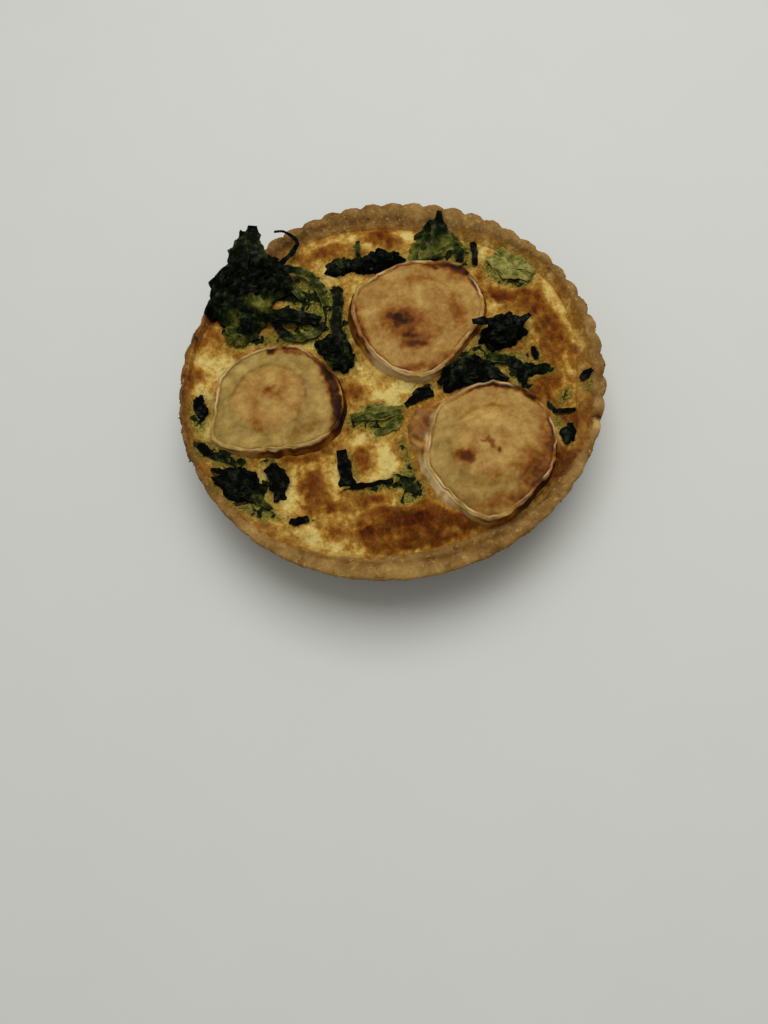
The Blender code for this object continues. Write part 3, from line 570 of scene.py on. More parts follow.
CREAM = ((-3, -6, 6, 3.2, 1.1), (4, -4.5, 4, 2.6, 1), (-13, -20.6, 8, 2.2, 1),
         (-8, -30, 3.5, 7, 1.1), (-12, -36, 7, 2, 0.9), (-34, -26.6, 4, 2, 0.8, 10),
         (-26, -33, 2.5, 5, 0.6), (-28, -39, 3, 2, 0.5), (-41, -32, 2.6, 8, 0.9, -25),
         (-44, -38, 7, 3.4, 0.8, -45), (-38, -49.5, 3, 3.2, 1.2), (-42, -51, 8, 2.8, 0.8, -42),
         (-31, -57, 8, 2.4, 0.8, -28), (-50.5, -25, 1.4, 7, 0.9, -20), (-65, -4, 4, 5, 0.9),
         (-61, 24, 5, 5, 0.8), (-66, 13, 3.2, 4, 0.9), (-57, 20.5, 4, 2.4, 0.7),
         (-65, 28, 4, 4, 0.5), (-20, 46, 1.8, 5, 1), (-13, 49, 2.6, 7, 1, -10),
         (-22, 21.5, 7, 2, 0.8, -20), (-24, 29, 5, 2.6, 0.6), (-20, 63.5, 7, 2, 0.9),
         (20, 59.4, 6, 2.2, 1, -25), (5.6, 60, 1.8, 3, 0.6), (9, 46.6, 3, 1.8, 0.6),
         (19, 47.6, 4, 1.8, 0.6), (46.5, 43, 2.4, 5, 0.8, -30), (57, 36, 5, 2.6, 0.9, -55),
         (44, 20, 2.4, 5, 0.5), (65, 20, 1.8, 7, 0.9, -15), (66.6, 8, 1.6, 8, 0.9),
         (67, -4, 1.6, 5, 0.6), (-4, 44, 4, 3, 0.6), (-14, 56, 2, 4, 0.6), (-3, 64.6, 6, 1.5, 0.6),
         (-8, 5, 5, 6, 0.7, 30), (-54, -38, 4, 6, 0.4, 40), (-37, 41, 2, 2, 0.7),
         (-45, 28, 4, 2, 0.5), (-24, -13, 2, 4, 0.4))
GREEN = ((-16, 38, 6, 4, 0.7), (-12, 35, 4, 4, 0.8), (-20, 30, 6, 5, 0.6), (-26, 26, 7, 4, 0.6),
         (-24, 48, 5, 8, 0.6), (-16, 44, 3, 7, 0.8), (-40, 46, 8, 4, 0.6), (-50, 29, 5, 3, 0.6),
         (-5, 51, 5, 3, 0.8), (2, 58, 1.2, 4, 0.9), (24, 46.6, 7, 2.6, 0.7, -10),
         (33, 46, 6, 4, 0.8), (42, 47, 3, 4, 0.7), (50, 32, 5, 4, 1, -40),
         (58, 29, 4, 4, 0.8, -40), (56, 25, 3, 1.5, 0.8), (-8, -13, 11, 4, 0.8, -5),
         (-7, -19, 6, 3, 0.6), (-1, -30, 1.6, 8, 0.6), (-4, -38, 4, 4, 0.7), (-1, -44, 4, 4, 0.8),
         (-5, -46, 4, 2, 0.6), (-12, -39.6, 8, 1.6, 0.5), (34, 2, 5, 3, 0.8),
         (38, -3, 7, 4, 0.8, -30), (45, -13, 4, 4, 0.7), (53, -12, 4, 3, 0.6),
         (57, -24, 5, 2.4, 0.5, 40), (66, -22, 3, 4, 0.6), (51, -33, 2, 4, 0.5),
         (-69, 0, 3, 5, 0.6), (-69, -10, 4, 4, 0.6), (-61, -17, 5, 2, 0.6, -30),
         (-55, -34, 6, 3.4, 0.6, -42), (-50, -39, 5, 1.6, 0.5, -45), (-40, -45, 6, 1.5, 0.3),
         (-20, -31, 1.4, 8, 0.5), (-14, 10, 5, 4, 0.5), (-10, 24, 3, 5, 0.6),
         (-66.5, 6, 5, 7, 0.5), (10, -4, 7, 2, 0.4, -10), (27, 3, 5, 2, 0.5),
         (-60, -27, 9, 8, 0.5), (-47, -27, 5, 8, 0.4), (-56, -36, 8, 3, 0.5, -40),
         (4, 52, 13, 4, 0.5), (46, 6, 10, 6, 0.4), (-15, 14, 7, 8, 0.5), (-46, -28, 4, 8, 0.3),
         (-21, 40, 6, 8, 0.7), (-20, 29, 8, 4, 0.5), (-32, 28, 8, 4, 0.7), (-44, 30, 6, 3, 0.7),
         (-12, 34, 3, 8, 0.5), (26, 50, 6, 5, 0.5), (39, 41, 3, 5, 0.6), (46, 38, 4, 3, 0.3),
         (54, 33, 6, 6, 0.6, -40), (-60, -20, 6, 5, 0.5, -30), (-65, -12, 4, 5, 0.5),
         (-12, -13, 6, 3, 0.4), (48, -6, 7, 6, 0.4))
SHREDS = ((-30, 46, 5, 2.6, 0.9, 20), (-26, 43.6, 4, 2.4, 0.8, -10), (-38, 43, 4, 2, 0.7),
          (-10, 42, 2.4, 4.5, 0.9), (-12, 30, 1.6, 6, 0.8), (-23, 52, 2.4, 4, 0.6),
          (36, -0.6, 4, 1.6, 0.9, -30), (33, 3.6, 2.6, 1, 0.8, 20), (41, -3, 5, 1.6, 0.9, -45),
          (44, -8, 2.4, 5, 0.9, -10), (45, -15, 1.6, 3, 0.9), (48.6, -9, 3, 1.6, 0.9),
          (55.5, -12.6, 2, 1, 0.8), (53, -4.6, 0.8, 3.4, 0.8), (-2, -40, 1.8, 2.5, 0.8),
          (-5, -39.5, 2.4, 1, 0.9), (-1, -45.3, 2.2, 1.2, 1), (-62, -14, 3.4, 1.8, 1, -30),
          (-57, -17.5, 2.6, 1.4, 0.8), (-70, -8, 1.6, 2, 1), (57, -23.4, 3.2, 0.7, 0.8, 40),
          (51, -27, 1.4, 3, 0.9), (-69, 1.5, 1.4, 1.4, 0.9), (-63.6, 35, 0.7, 1.6, 0.9, 20),
          (56, 25, 2.4, 0.9, 0.9), (49, 37, 1.8, 1.4, 0.9), (-53, -33, 5, 0.8, 0.8, -40),
          (-50, -36, 4, 0.7, 0.7, -48), (-56, -35, 4, 0.7, 0.7, -42), (-20, -37.6, 6, 0.8, 0.9),
          (-9, -39.4, 4, 0.8, 0.8, -14), (-24, 24.4, 6, 0.8, 0.7, -6),
          (-18, 38.4, 6, 0.8, 0.8, -28), (38, 45, 1.6, 4, 0.9), (26, 44.8, 4, 0.8, 0.7, -14),
          (66, -18.8, 2, 1, 0.8, 20), (53.5, -36, 2.6, 4, 0.6), (-36.6, -44.8, 1, 0.6, 0.9),
          (12, -6.6, 4, 1, 0.8, 8), (60, -28.6, 2.6, 0.6, 0.7, -8), (47, -16.8, 1.2, 0.8, 0.8),
          (-48, -19.6, 2, 0.8, 0.7), (2.6, 60, 0.7, 3, 0.9, 10))
BASE_BAKE = 0.32


def ridged(points, size, seed):
    """Noise with sharp crests, from about -1.2 to 1."""
    return 1.0 - 2.3 * np.abs(grain(points, size, seed))


def custard_marks(x, y):
    """Values bake_and_shade, green and leaf, and the relief of the skin in mm, at places on the
    filling.
    """
    flat = np.stack([x, y, np.zeros_like(x)], -1).reshape(-1, 3)
    cloud, wisp, curl, speck = (grain(flat, size, seed).reshape(x.shape)
                                for size, seed in ((9.0, 7), (4.0, 8), (2.2, 9), (1.3, 10)))
    crease, crinkle = (ridged(flat * (1.5, 0.8, 1.0), size, seed).reshape(x.shape)
                       for size, seed in ((4.6, 5), (1.9, 6)))
    bent_x = x + 1.2 * wisp + 0.7 * curl
    bent_y = y - 1.2 * cloud + 0.8 * speck
    brown_and_crack_shade, red, cream, green, shreds = (np.clip(ovals(bent_x, bent_y, table), 0.0, 1.2)
                                        for table in (BROWN_AND_CRACK_SHADE, RED, CREAM, GREEN, SHREDS))
    bent = np.stack([bent_x, bent_y, np.full_like(x, 4.0)], -1).reshape(-1, 3)
    strand = np.maximum(*(1.0 - slim * np.abs(grain(bent, size, seed)).reshape(x.shape)
                          for size, slim, seed in ((9.0, 5.0, 11), (5.0, 8.0, 12))))
    crisp = ease(0.2, 0.75, brown_and_crack_shade + 0.25 * curl + 0.15 * speck)
    bake_and_shade = BASE_BAKE + 0.1 * cloud + 0.13 * wisp + 0.1 * curl + 0.05 * speck
    bake_and_shade += 0.2 * brown_and_crack_shade + 0.11 * crisp + 0.3 * red - 0.24 * cream
    # Painted shade: the grooves of the creases and crinkles are drawn darker and their ridges
    # lighter.
    bake_and_shade -= (0.08 + 0.08 * brown_and_crack_shade) * np.clip(crease, -1.0, 0.6) + 0.05 * crinkle
    caught = ease(0.25, 0.65, red + 0.12 * curl)
    fold = ridged(flat * (0.9, 1.3, 1.0) + 1.6 * curl.reshape(-1, 1), 7.5, 26).reshape(x.shape)
    # Caught places go red-brown, and the hollows between their folds and creases are painted darker
    # as shade.
    bake_and_shade += caught * (0.7 + 0.14 * wisp - 0.17 * np.clip(fold, -1.0, 0.7) - 0.08 * crease - bake_and_shade)
    stain = unit(green)
    leaf = np.minimum(shreds, 1.0) * (0.85 + 0.35 * curl)
    leaf = np.maximum(leaf, unit(strand) * ease(0.3, 0.75, stain + 0.3 * wisp))
    skin = 0.5 * cloud + 0.55 * wisp + 0.34 * curl + 0.16 * speck + 0.35 * cream
    skin += 0.26 * crease + 0.14 * crinkle
    skin += red * (fold + 0.5 * crease + 0.3 * crinkle)
    skin += brown_and_crack_shade * (0.25 * crease + 0.2 * crinkle) + 0.4 * leaf
    tint = 1.1 * stain + 0.5 * shreds + 0.25 * stain * wisp
    return {"bake_and_shade": bake_and_shade, "green": tint, "leaf": leaf}, skin


# %% [markdown]
# ## The fluted case
# The case was pressed into a fluted ring, so its wall falls back between two flutes and the rim
# shows scallops. The plain swept shell comes from a section; a Geometry Nodes tree then presses
# the flutes in and roughens the wall, because both follow a rule and depend on a few sizes.


# %% The tree that presses the flutes
def flute_tree():
    tree, sizes = new_tree("press_flutes", {"Flute depth": FLUTE_DEPTH * MM,
                                            "Lobe sharpness": LOBE_POWER, "Lump size": 4.0 * MM,
                                            "Lump depth": 0.5 * MM, "Crumb depth": 0.3 * MM})
    number, hold, rough = (add(tree, "GeometryNodeInputNamedAttribute", {"Name": label},
                               data_type="FLOAT") for label in ("flute", "hold", "rough"))
    dip = number
    for step, value in (("MULTIPLY", math.pi), ("COSINE", 0.0), ("ABSOLUTE", 0.0),
                        ("POWER", sizes["Lobe sharpness"]), ("SUBTRACT", 1.0),
                        ("MULTIPLY", hold), ("MULTIPLY", sizes["Flute depth"])):
        dip = add(tree, "ShaderNodeMath", {0: dip, 1: value}, operation=step)
    place = add(tree, "GeometryNodeInputPosition")
    flat = add(tree, "ShaderNodeVectorMath", {0: place, 1: (1.0, 1.0, 0.0)}, operation="MULTIPLY")
    outward = add(tree, "ShaderNodeVectorMath", {0: flat}, operation="NORMALIZE")
    pressed = add(tree, "ShaderNodeVectorMath", {0: outward, "Scale": dip}, operation="SCALE")
    case = add(tree, "GeometryNodeSetPosition", {0: sizes["Geometry"], "Offset": pressed})
    total = 0.0
    for depth, divide in ((sizes["Lump depth"], 1.0), (sizes["Crumb depth"], 4.0)):
        scale = add(tree, "ShaderNodeMath", {0: divide, 1: sizes["Lump size"]}, operation="DIVIDE")
        lump = add(tree, "ShaderNodeTexNoise", {"Vector": place, "Scale": scale, "Detail": 2.0})
        level = add(tree, "ShaderNodeMath", {0: lump, 1: 2.0, 2: -1.0}, operation="MULTIPLY_ADD")
        part = add(tree, "ShaderNodeMath", {0: level, 1: depth}, operation="MULTIPLY")
        total = add(tree, "ShaderNodeMath", {0: part, 1: total}, operation="ADD")
    held = add(tree, "ShaderNodeMath", {0: total, 1: rough}, operation="MULTIPLY")
    normal = add(tree, "GeometryNodeInputNormal")
    push = add(tree, "ShaderNodeVectorMath", {0: normal, "Scale": held}, operation="SCALE")
    rugged = add(tree, "GeometryNodeSetPosition", {0: case, "Offset": push})
    end_tree(tree, rugged, sizes["Material"])
    return tree


# %% The shell that it works on
COLUMNS_PER_FLUTE = 18
WALL_ROWS = 34
CREST_ROWS = 9
SLOPE_ROWS = 7
CASE_COLUMNS = FLUTES * COLUMNS_PER_FLUTE
angles = np.arange(CASE_COLUMNS) * 360.0 / CASE_COLUMNS
TOAST_STOPS = ((-168, 0.6), (-145, 0.38), (-95, 0.43), (-60, 0.48), (-20, 0.44), (30, 0.4),
               (95, 0.46), (125, 0.5), (150, 0.6), (175, 0.64))
EGG_STOPS = ((-165, 0.62), (-140, 0.5), (-112, 0.2), (-98, 0.03), (-70, 0.03), (-55, 0.3),
             (-30, 0.62), (-12, 0.5), (12, 0.42), (45, 0.36), (65, 0.12), (110, 0.16), (132, 0.5),
             (155, 0.68))


def bend(start, corner, end, shares):
    """Points on a rounded corner between two sections, each (radius, height) over the angles."""
    rows = []
    for t in shares:
        rows.append([(1 - t) ** 2 * a + 2 * t * (1 - t) * b + t * t * c
                     for a, b, c in zip(start, corner, end)])
    return rows


def case_section():
    """(radius, height) rows from the foot over the rim to the inner floor, and their marks."""
    crest = crest_height(angles)
    edge = around(angles, EDGE_STOPS)
    level = around(angles, LEVEL_STOPS)
    overflow = around(angles, OVERFLOW_STOPS)
    still = np.ones_like(angles)
    rows = [(still * radius, still * 0.0) for radius in (1.0, 30.0, 55.0, BASE_RADIUS - FOOT_ROUND)]
    marks = [(0.0, 0.0)] * len(rows)
    for share in np.linspace(0.03, 0.9, WALL_ROWS):
        radius = wall_radius(angles, share) + overflow * ease(0.4, 0.9, share)
        rows.append((radius, crest * share))
        marks.append((float(ease(0.2, 0.95, share)), float(ease(0.03, 0.15, share))))
    top = (wall_radius(angles, 1.0) - CREST_WIDTH, crest)
    corner = (wall_radius(angles, 1.0) + overflow + 0.2, crest + 0.2)
    shares = np.linspace(0.12, 1.0, CREST_ROWS)
    rows += bend(rows[-1], corner, top, shares)
    marks += [(1.0 - 0.6 * share, 1.0) for share in shares]
    inner = (0.5 * (top[0] + edge), 0.35 * level + 0.65 * crest)
    shares = np.linspace(0.14, 1.0, SLOPE_ROWS)
    rows += bend(top, (0.6 * top[0] + 0.4 * inner[0], crest + 0.1), inner, shares)
    marks += [(0.4 * (1.0 - share), 1.0) for share in shares]
    for share in np.linspace(0.15, 1.0, SLOPE_ROWS):
        rows.append((inner[0] + (edge - inner[0]) * share, inner[1] + (level - inner[1]) * share))
        marks.append((0.0, 1.0 - 0.4 * share))
    for share in (0.1, 0.4, 1.0):
        rows.append((edge + (FLOOR_RADIUS - edge) * share,
                     level + (FLOOR_THICKNESS - level) * share))
        marks.append((0.0, 0.0))
    rows += [(still * radius, still * FLOOR_THICKNESS) for radius in (30.0, 1.0)]
    marks += [(0.0, 0.0)] * 2
    return rows, marks


rows, marks = case_section()
turn = np.radians(angles)
case_rings = np.array([np.stack([radius * np.cos(turn), radius * np.sin(turn), height], 1)
                       for radius, height in rows])
case_radius = np.array([radius for radius, height in rows])
case_height = case_rings[:, :, 2]
hold = np.array([mark[0] for mark in marks])[:, None] * around(angles, FLUTE_STOPS)[None, :]
rough = np.array([mark[1] for mark in marks])[:, None] * np.ones_like(hold)
shell = ring_mesh("crust", case_rings)
flat_points = case_rings.reshape(-1, 3)
drift = grain(flat_points, 9.0, 3).reshape(hold.shape)
wisp = grain(flat_points, 3.0, 4).reshape(hold.shape)
edge_radius = around(angles, EDGE_STOPS)[None, :]
out_share = (case_radius - edge_radius) / (wall_radius(angles, 1.0)[None, :] - edge_radius)
on_top = ease(20.0, 22.0, case_height)
toast_and_shade = around(angles, TOAST_STOPS)[None, :] + 0.12 * drift + 0.1 * wisp
toast_and_shade += 0.25 * (1.0 - ease(1.0, 12.0, case_height)) - 0.06 * ease(20.0, 25.0, case_height)
# Painted shade: the hollows between the flutes are drawn darker.
flute_shade = 1.0 - np.abs(np.cos(np.pi * flute_number(angles)))[None, :]
toast_and_shade += 0.18 * flute_shade * hold
# Painted shade: a darker line where the crest's inner side turns down towards the custard.
toast_and_shade += 0.16 * hump(out_share, 0.34, 0.12) * on_top
crack = angles[None, :] - 360.0 - CRACK_ANGLE
# Painted shade: the crack in the rim is drawn darker; the flap beside it is paler pastry.
toast_and_shade += 0.5 * hump(crack, 0.0, 0.9) * ease(0.3, 0.6, out_share) * on_top
toast_and_shade -= 0.5 * hump(crack, -2.6, 1.5) * ease(0.55, 0.8, out_share) * on_top
egg = 0.5 + 2.4 * (around(angles, EGG_STOPS)[None, :] - out_share) + 0.3 * wisp
egg = np.where(case_height > 20.0, egg, -1.0) * on_top
slope_marks, _ = custard_marks(case_rings[:, :, 0], case_rings[:, :, 1])
slope_marks["bake_and_shade"] = slope_marks["bake_and_shade"] + 0.06 + 0.25 * ease(0.3, 0.8, out_share)
paint(shell, "flute", np.broadcast_to(flute_number(angles), hold.shape))
for label, values in (("hold", hold), ("rough", rough), ("toast_and_shade", toast_and_shade), ("egg", egg),
                      *slope_marks.items()):
    paint(shell, label, values)
crust_mesh = grow("crust", shell, flute_tree(), pastry)
crust = place_object("crust_case", crust_mesh, pastry)

# %% [markdown]
# ## Finish: baked egg custard
# Custard sets cream and yellow, and goes golden, orange and red-brown where it stood nearest the
# heat. The attribute "bake_and_shade" runs through those colours in order, so a dark patch always
# has an orange border, as on real custard; it also holds shade painted into the skin's grooves.
# Noise at 2.2 mm and 0.8 mm frays it, because browning follows tiny blisters, and the same noise
# makes some places greasier. "green" is juice from the spinach and "leaf" shreds just under the
# skin.


# %% Egg custard
def egg_custard():
    material, tree, shader, place = new_finish("baked_egg_custard")
    colour, fine, fray = custard_colours(tree, place)
    rough = add(tree, "ShaderNodeMapRange", {0: fray, 1: 0.3, 2: 0.7, 3: 0.7, 4: 0.4})
    grease = add(tree, "ShaderNodeMapRange", {0: fray, 1: 0.5, 2: 0.7, 3: 0.03, 4: 0.06})
    relief = add(tree, "ShaderNodeBump", {"Height": fine, "Strength": 0.8, "Distance": 1.2 * MM})
    feed(tree, shader, {"Base Color": colour, "Roughness": rough, "Specular IOR Level": grease,
                        "Normal": relief, "Subsurface Weight": 0.04,
                        "Subsurface Radius": (1.0, 0.6, 0.25), "Subsurface Scale": 1.0 * MM})
    return material


custard_stuff = egg_custard()

# %% [markdown]
# ## The custard
# A height field on rings: the solid's level and puffs with the relief of the skin over it. A
# height field fits, because set custard has one top height everywhere. It climbs a little against
# each cheese slice, as it did while it was liquid, and it runs under the crust's inner edge, so no
# gap shows.


# %% Rings of custard
CUSTARD_COLUMNS = 640
CUSTARD_RINGS = 148
UNDER_CRUST = 0.7
OVER_FLOOR = 0.3
CLIMB = 1.1
CLIMB_WIDTH = 1.6
custard_angles = np.arange(CUSTARD_COLUMNS) * 360.0 / CUSTARD_COLUMNS
custard_turn = np.radians(custard_angles)
reach = around(custard_angles, EDGE_STOPS) + UNDER_CRUST
shares = np.linspace(1.0, 0.006, CUSTARD_RINGS)
x = shares[:, None] * (reach * np.cos(custard_turn))[None, :]
y = shares[:, None] * (reach * np.sin(custard_turn))[None, :]
tints, skin = custard_marks(x, y)
climb = np.zeros_like(x)
for cheese in CHEESES.values():
    east = x - cheese["centre"][0]
    north = y - cheese["centre"][1]
    beyond = np.hypot(east, north) - foot_radius_at(cheese, np.degrees(np.arctan2(north, east)))
    climb += CLIMB * hump(np.maximum(beyond, 0.0), 0.0, CLIMB_WIDTH)
top = filling_height(x, y) + (skin + climb) * (1.0 - ease(0.95, 1.0, shares))[:, None]
under = (0.01, 0.5, 0.86)
custard_rings = [np.stack([reach * share * np.cos(custard_turn),
                           reach * share * np.sin(custard_turn),
                           np.full_like(reach, FLOOR_THICKNESS + OVER_FLOOR)], 1)
                 for share in under]
custard_rings += [np.stack([x[k], y[k], top[k]], 1) for k in range(CUSTARD_RINGS)]
custard_mesh = ring_mesh("custard", np.array(custard_rings))
for label, values in tints.items():
    paint(custard_mesh, label, np.concatenate([np.zeros((len(under), CUSTARD_COLUMNS)), values]))
custard = place_object("custard_filling", custard_mesh, custard_stuff)

# %% [markdown]
# ## Finish: roasted goat's cheese
# A slice cut from a log: a pale rind runs round it, the face has dried to a golden skin, and the
# fat has left a duller, slightly green ring outside the middle. "roast" runs from plain tan over
# orange-brown to burnt, and also holds painted shade: in the groove inside the lip, along the
# dome's edge and in the hollows of the folded flap. "ring" is the dull outer ring, and "rind" is
# the cream edge. A thin skin of fat, thicker in some specks than in others, makes it glossier than
# the custard.


# %% Goat's cheese
def goat_cheese():
    material, tree, shader, place = new_finish("roasted_goat_cheese")
    cloud = add(tree, "ShaderNodeTexNoise", {"Vector": place, "Scale": per_mm(5.0), "Detail": 5.0,
                                             "Roughness": 0.6})
    speck = add(tree, "ShaderNodeTexNoise", {"Vector": place, "Scale": per_mm(1.0), "Detail": 3.0})
    roast, ring, rind = (add(tree, "ShaderNodeAttribute", attribute_name=label).outputs["Fac"]
                         for label in ("roast", "ring", "rind"))
    drift = add(tree, "ShaderNodeMath", {0: cloud, 1: 0.7, 2: -0.37}, operation="MULTIPLY_ADD")
    fine = add(tree, "ShaderNodeMath", {0: speck, 1: 0.22, 2: drift}, operation="MULTIPLY_ADD")
    level = add(tree, "ShaderNodeMath", {0: fine, 1: roast}, operation="ADD")
    face = add(tree, "ShaderNodeValToRGB", {0: level},
               stops=((0.0, "BC9A56"), (1.0, "240D03"), (0.2, "A07A3E"), (0.4, "845018"),
                      (0.64, "532906")))
    stale = add(tree, "ShaderNodeValToRGB", {0: level}, stops=((0.0, "A29250"), (0.4, "6E5E2A")))
    patchy = add(tree, "ShaderNodeMapRange", {0: cloud, 1: 0.3, 2: 0.65, 3: 0.35, 4: 1.0})
    hidden = add(tree, "ShaderNodeMath", {0: ring, 1: patchy}, operation="MULTIPLY")
    dull = add(tree, "ShaderNodeMix", {0: hidden, 6: face, 7: stale}, data_type="RGBA")
    pale = add(tree, "ShaderNodeMix", {0: rind, 6: dull.outputs[2], 7: linear("D0B583")},
               data_type="RGBA")
    rough = add(tree, "ShaderNodeMapRange", {0: cloud, 3: 0.34, 4: 0.6})
    fat = add(tree, "ShaderNodeMapRange", {0: speck, 1: 0.5, 2: 0.7, 3: 0.04, 4: 0.08})
    relief = add(tree, "ShaderNodeBump", {"Height": fine, "Strength": 0.6, "Distance": 0.6 * MM})
    feed(tree, shader, {"Base Color": pale.outputs[2], "Roughness": rough, "Normal": relief,
                        "Specular IOR Level": fat, "Subsurface Weight": 0.05,
                        "Subsurface Radius": (1.0, 0.6, 0.3), "Subsurface Scale": 1.0 * MM})
    return material


cheese_stuff = goat_cheese()

# %% [markdown]
# ## The cheese slices
# Each slice is a round mesh from its underside over the crinkled side to the face. The rind stands
# up as a thin torn lip, whose height and place both wander, because a regular lip would look like
# a bottle cap. On the right slice a flap of rind has slid off and lies folded beside it.


# %% Rings of a slice
CHEESE_COLUMNS = 448
SIDE_ROWS = 16
SLICE_RADIUS = 22.0
LIP_RISE = 0.55
LIP_PLACE = 0.968
LIP_WIDTH = 0.013
GROOVE_DEPTH = 0.22
GROOVE_BACK = 0.042
GROOVE_WIDTH = 0.016
FLAP_SPREAD = (3.5, 8.0)


def cheese_piece(name, cheese, seed):
    """One slice; places are shares of the way up its side, then of its radius."""
    angle = np.arange(CHEESE_COLUMNS) * 360.0 / CHEESE_COLUMNS
    turn = np.radians(angle)
    flat = 0.0 * turn
    centre_x, centre_y = cheese["centre"]
    circle = SLICE_RADIUS * np.stack([np.cos(turn), np.sin(turn), flat], 1)
    lip = around(angle, cheese["lip"])
    lip = lip * np.clip(0.7 + 1.5 * grain(circle, 4.2, seed + 2), 0.05, 1.5)
    crinkle = 0.5 * grain(circle, 2.6, seed) + 0.3 * grain(circle, 1.3, seed + 1)
    crinkle = crinkle * (0.35 + 0.65 * lip)
    outline = top_radius_at(cheese, angle) + crinkle
    foot = foot_radius_at(cheese, angle) + 0.4 * crinkle
    line = around(angle, cheese["line"]) * unit(0.5 + 2.4 * grain(circle, 4.4, seed + 10))
    wall = around(angle, cheese["wall"])
    cream_wall = unit(-wall)
    flap = ease(*FLAP_SPREAD, around(angle, cheese["spread"]))
    lip_place = LIP_PLACE + 0.024 * grain(circle, 5.0, seed + 11)

    def at(radius):
        return centre_x + radius * np.cos(turn), centre_y + radius * np.sin(turn)

    rings = []
    marks = []
    for share in (0.05, 0.6, 0.98):
        px, py = at(foot * share)
        rings.append((px, py, filling_height(px, py) - 0.9))
        marks.append((flat, flat, flat + 0.4))
    edge_x, edge_y = at(outline)
    rim_height = cheese_top(cheese, edge_x, edge_y)[0] - 0.25
    foot_x, foot_y = at(foot)
    foot_height = resting_height(foot_x, foot_y) - 0.5
    for row in range(SIDE_ROWS):
        share = row / (SIDE_ROWS - 1)
        skirt = np.stack([circle[:, 0], circle[:, 1], flat + 3.0 * share], 1)
        pleat = grain(skirt, 3.2, seed + 3)
        crease = ridged(skirt + 3.0 * flap[:, None] * share, 3.0, seed + 12)
        arch = math.sin(math.pi * share)
        bulge = 0.25 * arch + 0.35 * pleat + 0.9 * flap * crease * arch
        ledge = 0.3 * hump(share, 0.62, 0.12) * np.maximum(lip - 0.4, 0.0)
        px, py = at(foot + (outline - foot) * share + bulge + ledge)
        rise = (1.0 - flap) * share ** 1.25 + flap * (1.0 - (1.0 - share) ** 2.4)
        fold = flap * 0.8 * crease * arch
        rings.append((px, py, foot_height + (rim_height - foot_height) * rise + fold))
        tone = unit(wall) * np.clip(0.8 + 0.5 * pleat, 0.3, 1.1)
        tone = tone + 0.4 * hump(share, 0.84, 0.1) * unit(0.5 + pleat) * (1.0 - cream_wall)
        # Painted shade: the hollows of the flap's folds are drawn darker.
        tone = tone + flap * 0.3 * unit(-crease)
        cream = cream_wall * unit(0.8 + 0.8 * crease) + 0.12 * flap * unit(crease)
        marks.append((np.minimum(tone, 0.6 - 0.28 * flap), flat,
                      unit(cream + line * ease(0.88, 1.0, share))))
    inner = np.concatenate([np.linspace(0.996, 0.9, 15), np.linspace(0.885, 0.03, 44)])
    for share in inner:
        px, py = at(outline * share)
        height, apart = cheese_top(cheese, px, py)
        crest = hump(share, lip_place, LIP_WIDTH)
        groove = hump(share, lip_place - GROOVE_BACK, GROOVE_WIDTH)
        points = np.stack([px, py, flat], 1)
        ripple = 0.02 * np.sin(2.0 * np.pi * (apart + 1.2 * grain(points, 9.0, seed + 4)) / 2.6)
        waves = 0.3 * grain(points, 7.0, seed + 5) + 0.12 * grain(points, 2.2, seed + 6)
        caught = unit(ovals(px, py, cheese["roast"]))
        wrinkle = 0.5 * caught * ridged(points, 2.0, seed + 7)
        calm = ease(0.0, 0.12, share)
        rings.append((px, py, height - 0.2 + LIP_RISE * crest * lip - GROOVE_DEPTH * groove * lip
                      + calm * (ripple + waves + wrinkle * (share < 0.9))))
        dome_radius = cheese["dome"][0]
        inside = ease(dome_radius - 3.0, dome_radius + 0.5,
                      apart + 1.2 * grain(points, 5.0, seed + 9))
        dull = cheese["ring"] * around(angle, cheese["ring_stops"]) * inside * (1.0 - 0.8 * crest)
        # Painted shade: a darker line along the edge of the dome.
        step = 0.13 * hump(apart, dome_radius + 1.4 * grain(points, 6.0, seed + 15), 0.9)
        step = step * unit(0.6 + 1.2 * grain(points, 5.0, seed + 16))
        # Painted shade: a darker line in the groove just inside the lip.
        dark = 0.26 * hump(share, lip_place - 0.034, 0.011) * unit(0.4 + line)
        marks.append((dark + step + 0.05 * ridged(points, 4.0, seed + 13), dull, crest * line))
    stack = np.array([np.stack(ring, 1) for ring in rings])
    mesh = ring_mesh(name, stack)
    spread_points = stack.reshape(-1, 3)
    warp = grain(spread_points, 2.0, seed + 8).reshape(stack.shape[:2])
    mottle = grain(spread_points, 1.5, seed + 14).reshape(stack.shape[:2])
    spots = ovals(stack[:, :, 0] + 0.7 * warp, stack[:, :, 1] + 0.7 * warp, cheese["roast"])
    spots = spots * (1.0 + 0.5 * mottle)
    patches = ovals(stack[:, :, 0] + 0.8 * warp, stack[:, :, 1] - 0.8 * mottle, cheese["spots"])
    spots += 0.26 * ease(0.2, 0.8, patches + 0.12 * mottle) * np.clip(patches + 0.2, 0.0, 1.3)
    paint(mesh, "roast", spots + np.array([mark[0] for mark in marks]) + cheese["baked"])
    paint(mesh, "ring", np.array([mark[1] for mark in marks]) * (1.0 - ease(0.1, 0.35, spots)))
    paint(mesh, "rind", np.array([mark[2] for mark in marks]))
    return place_object(name + "_slice", mesh, cheese_stuff)


cheeses = {name: cheese_piece(name, cheese, 20 * k + 20)
           for k, (name, cheese) in enumerate(CHEESES.items())}
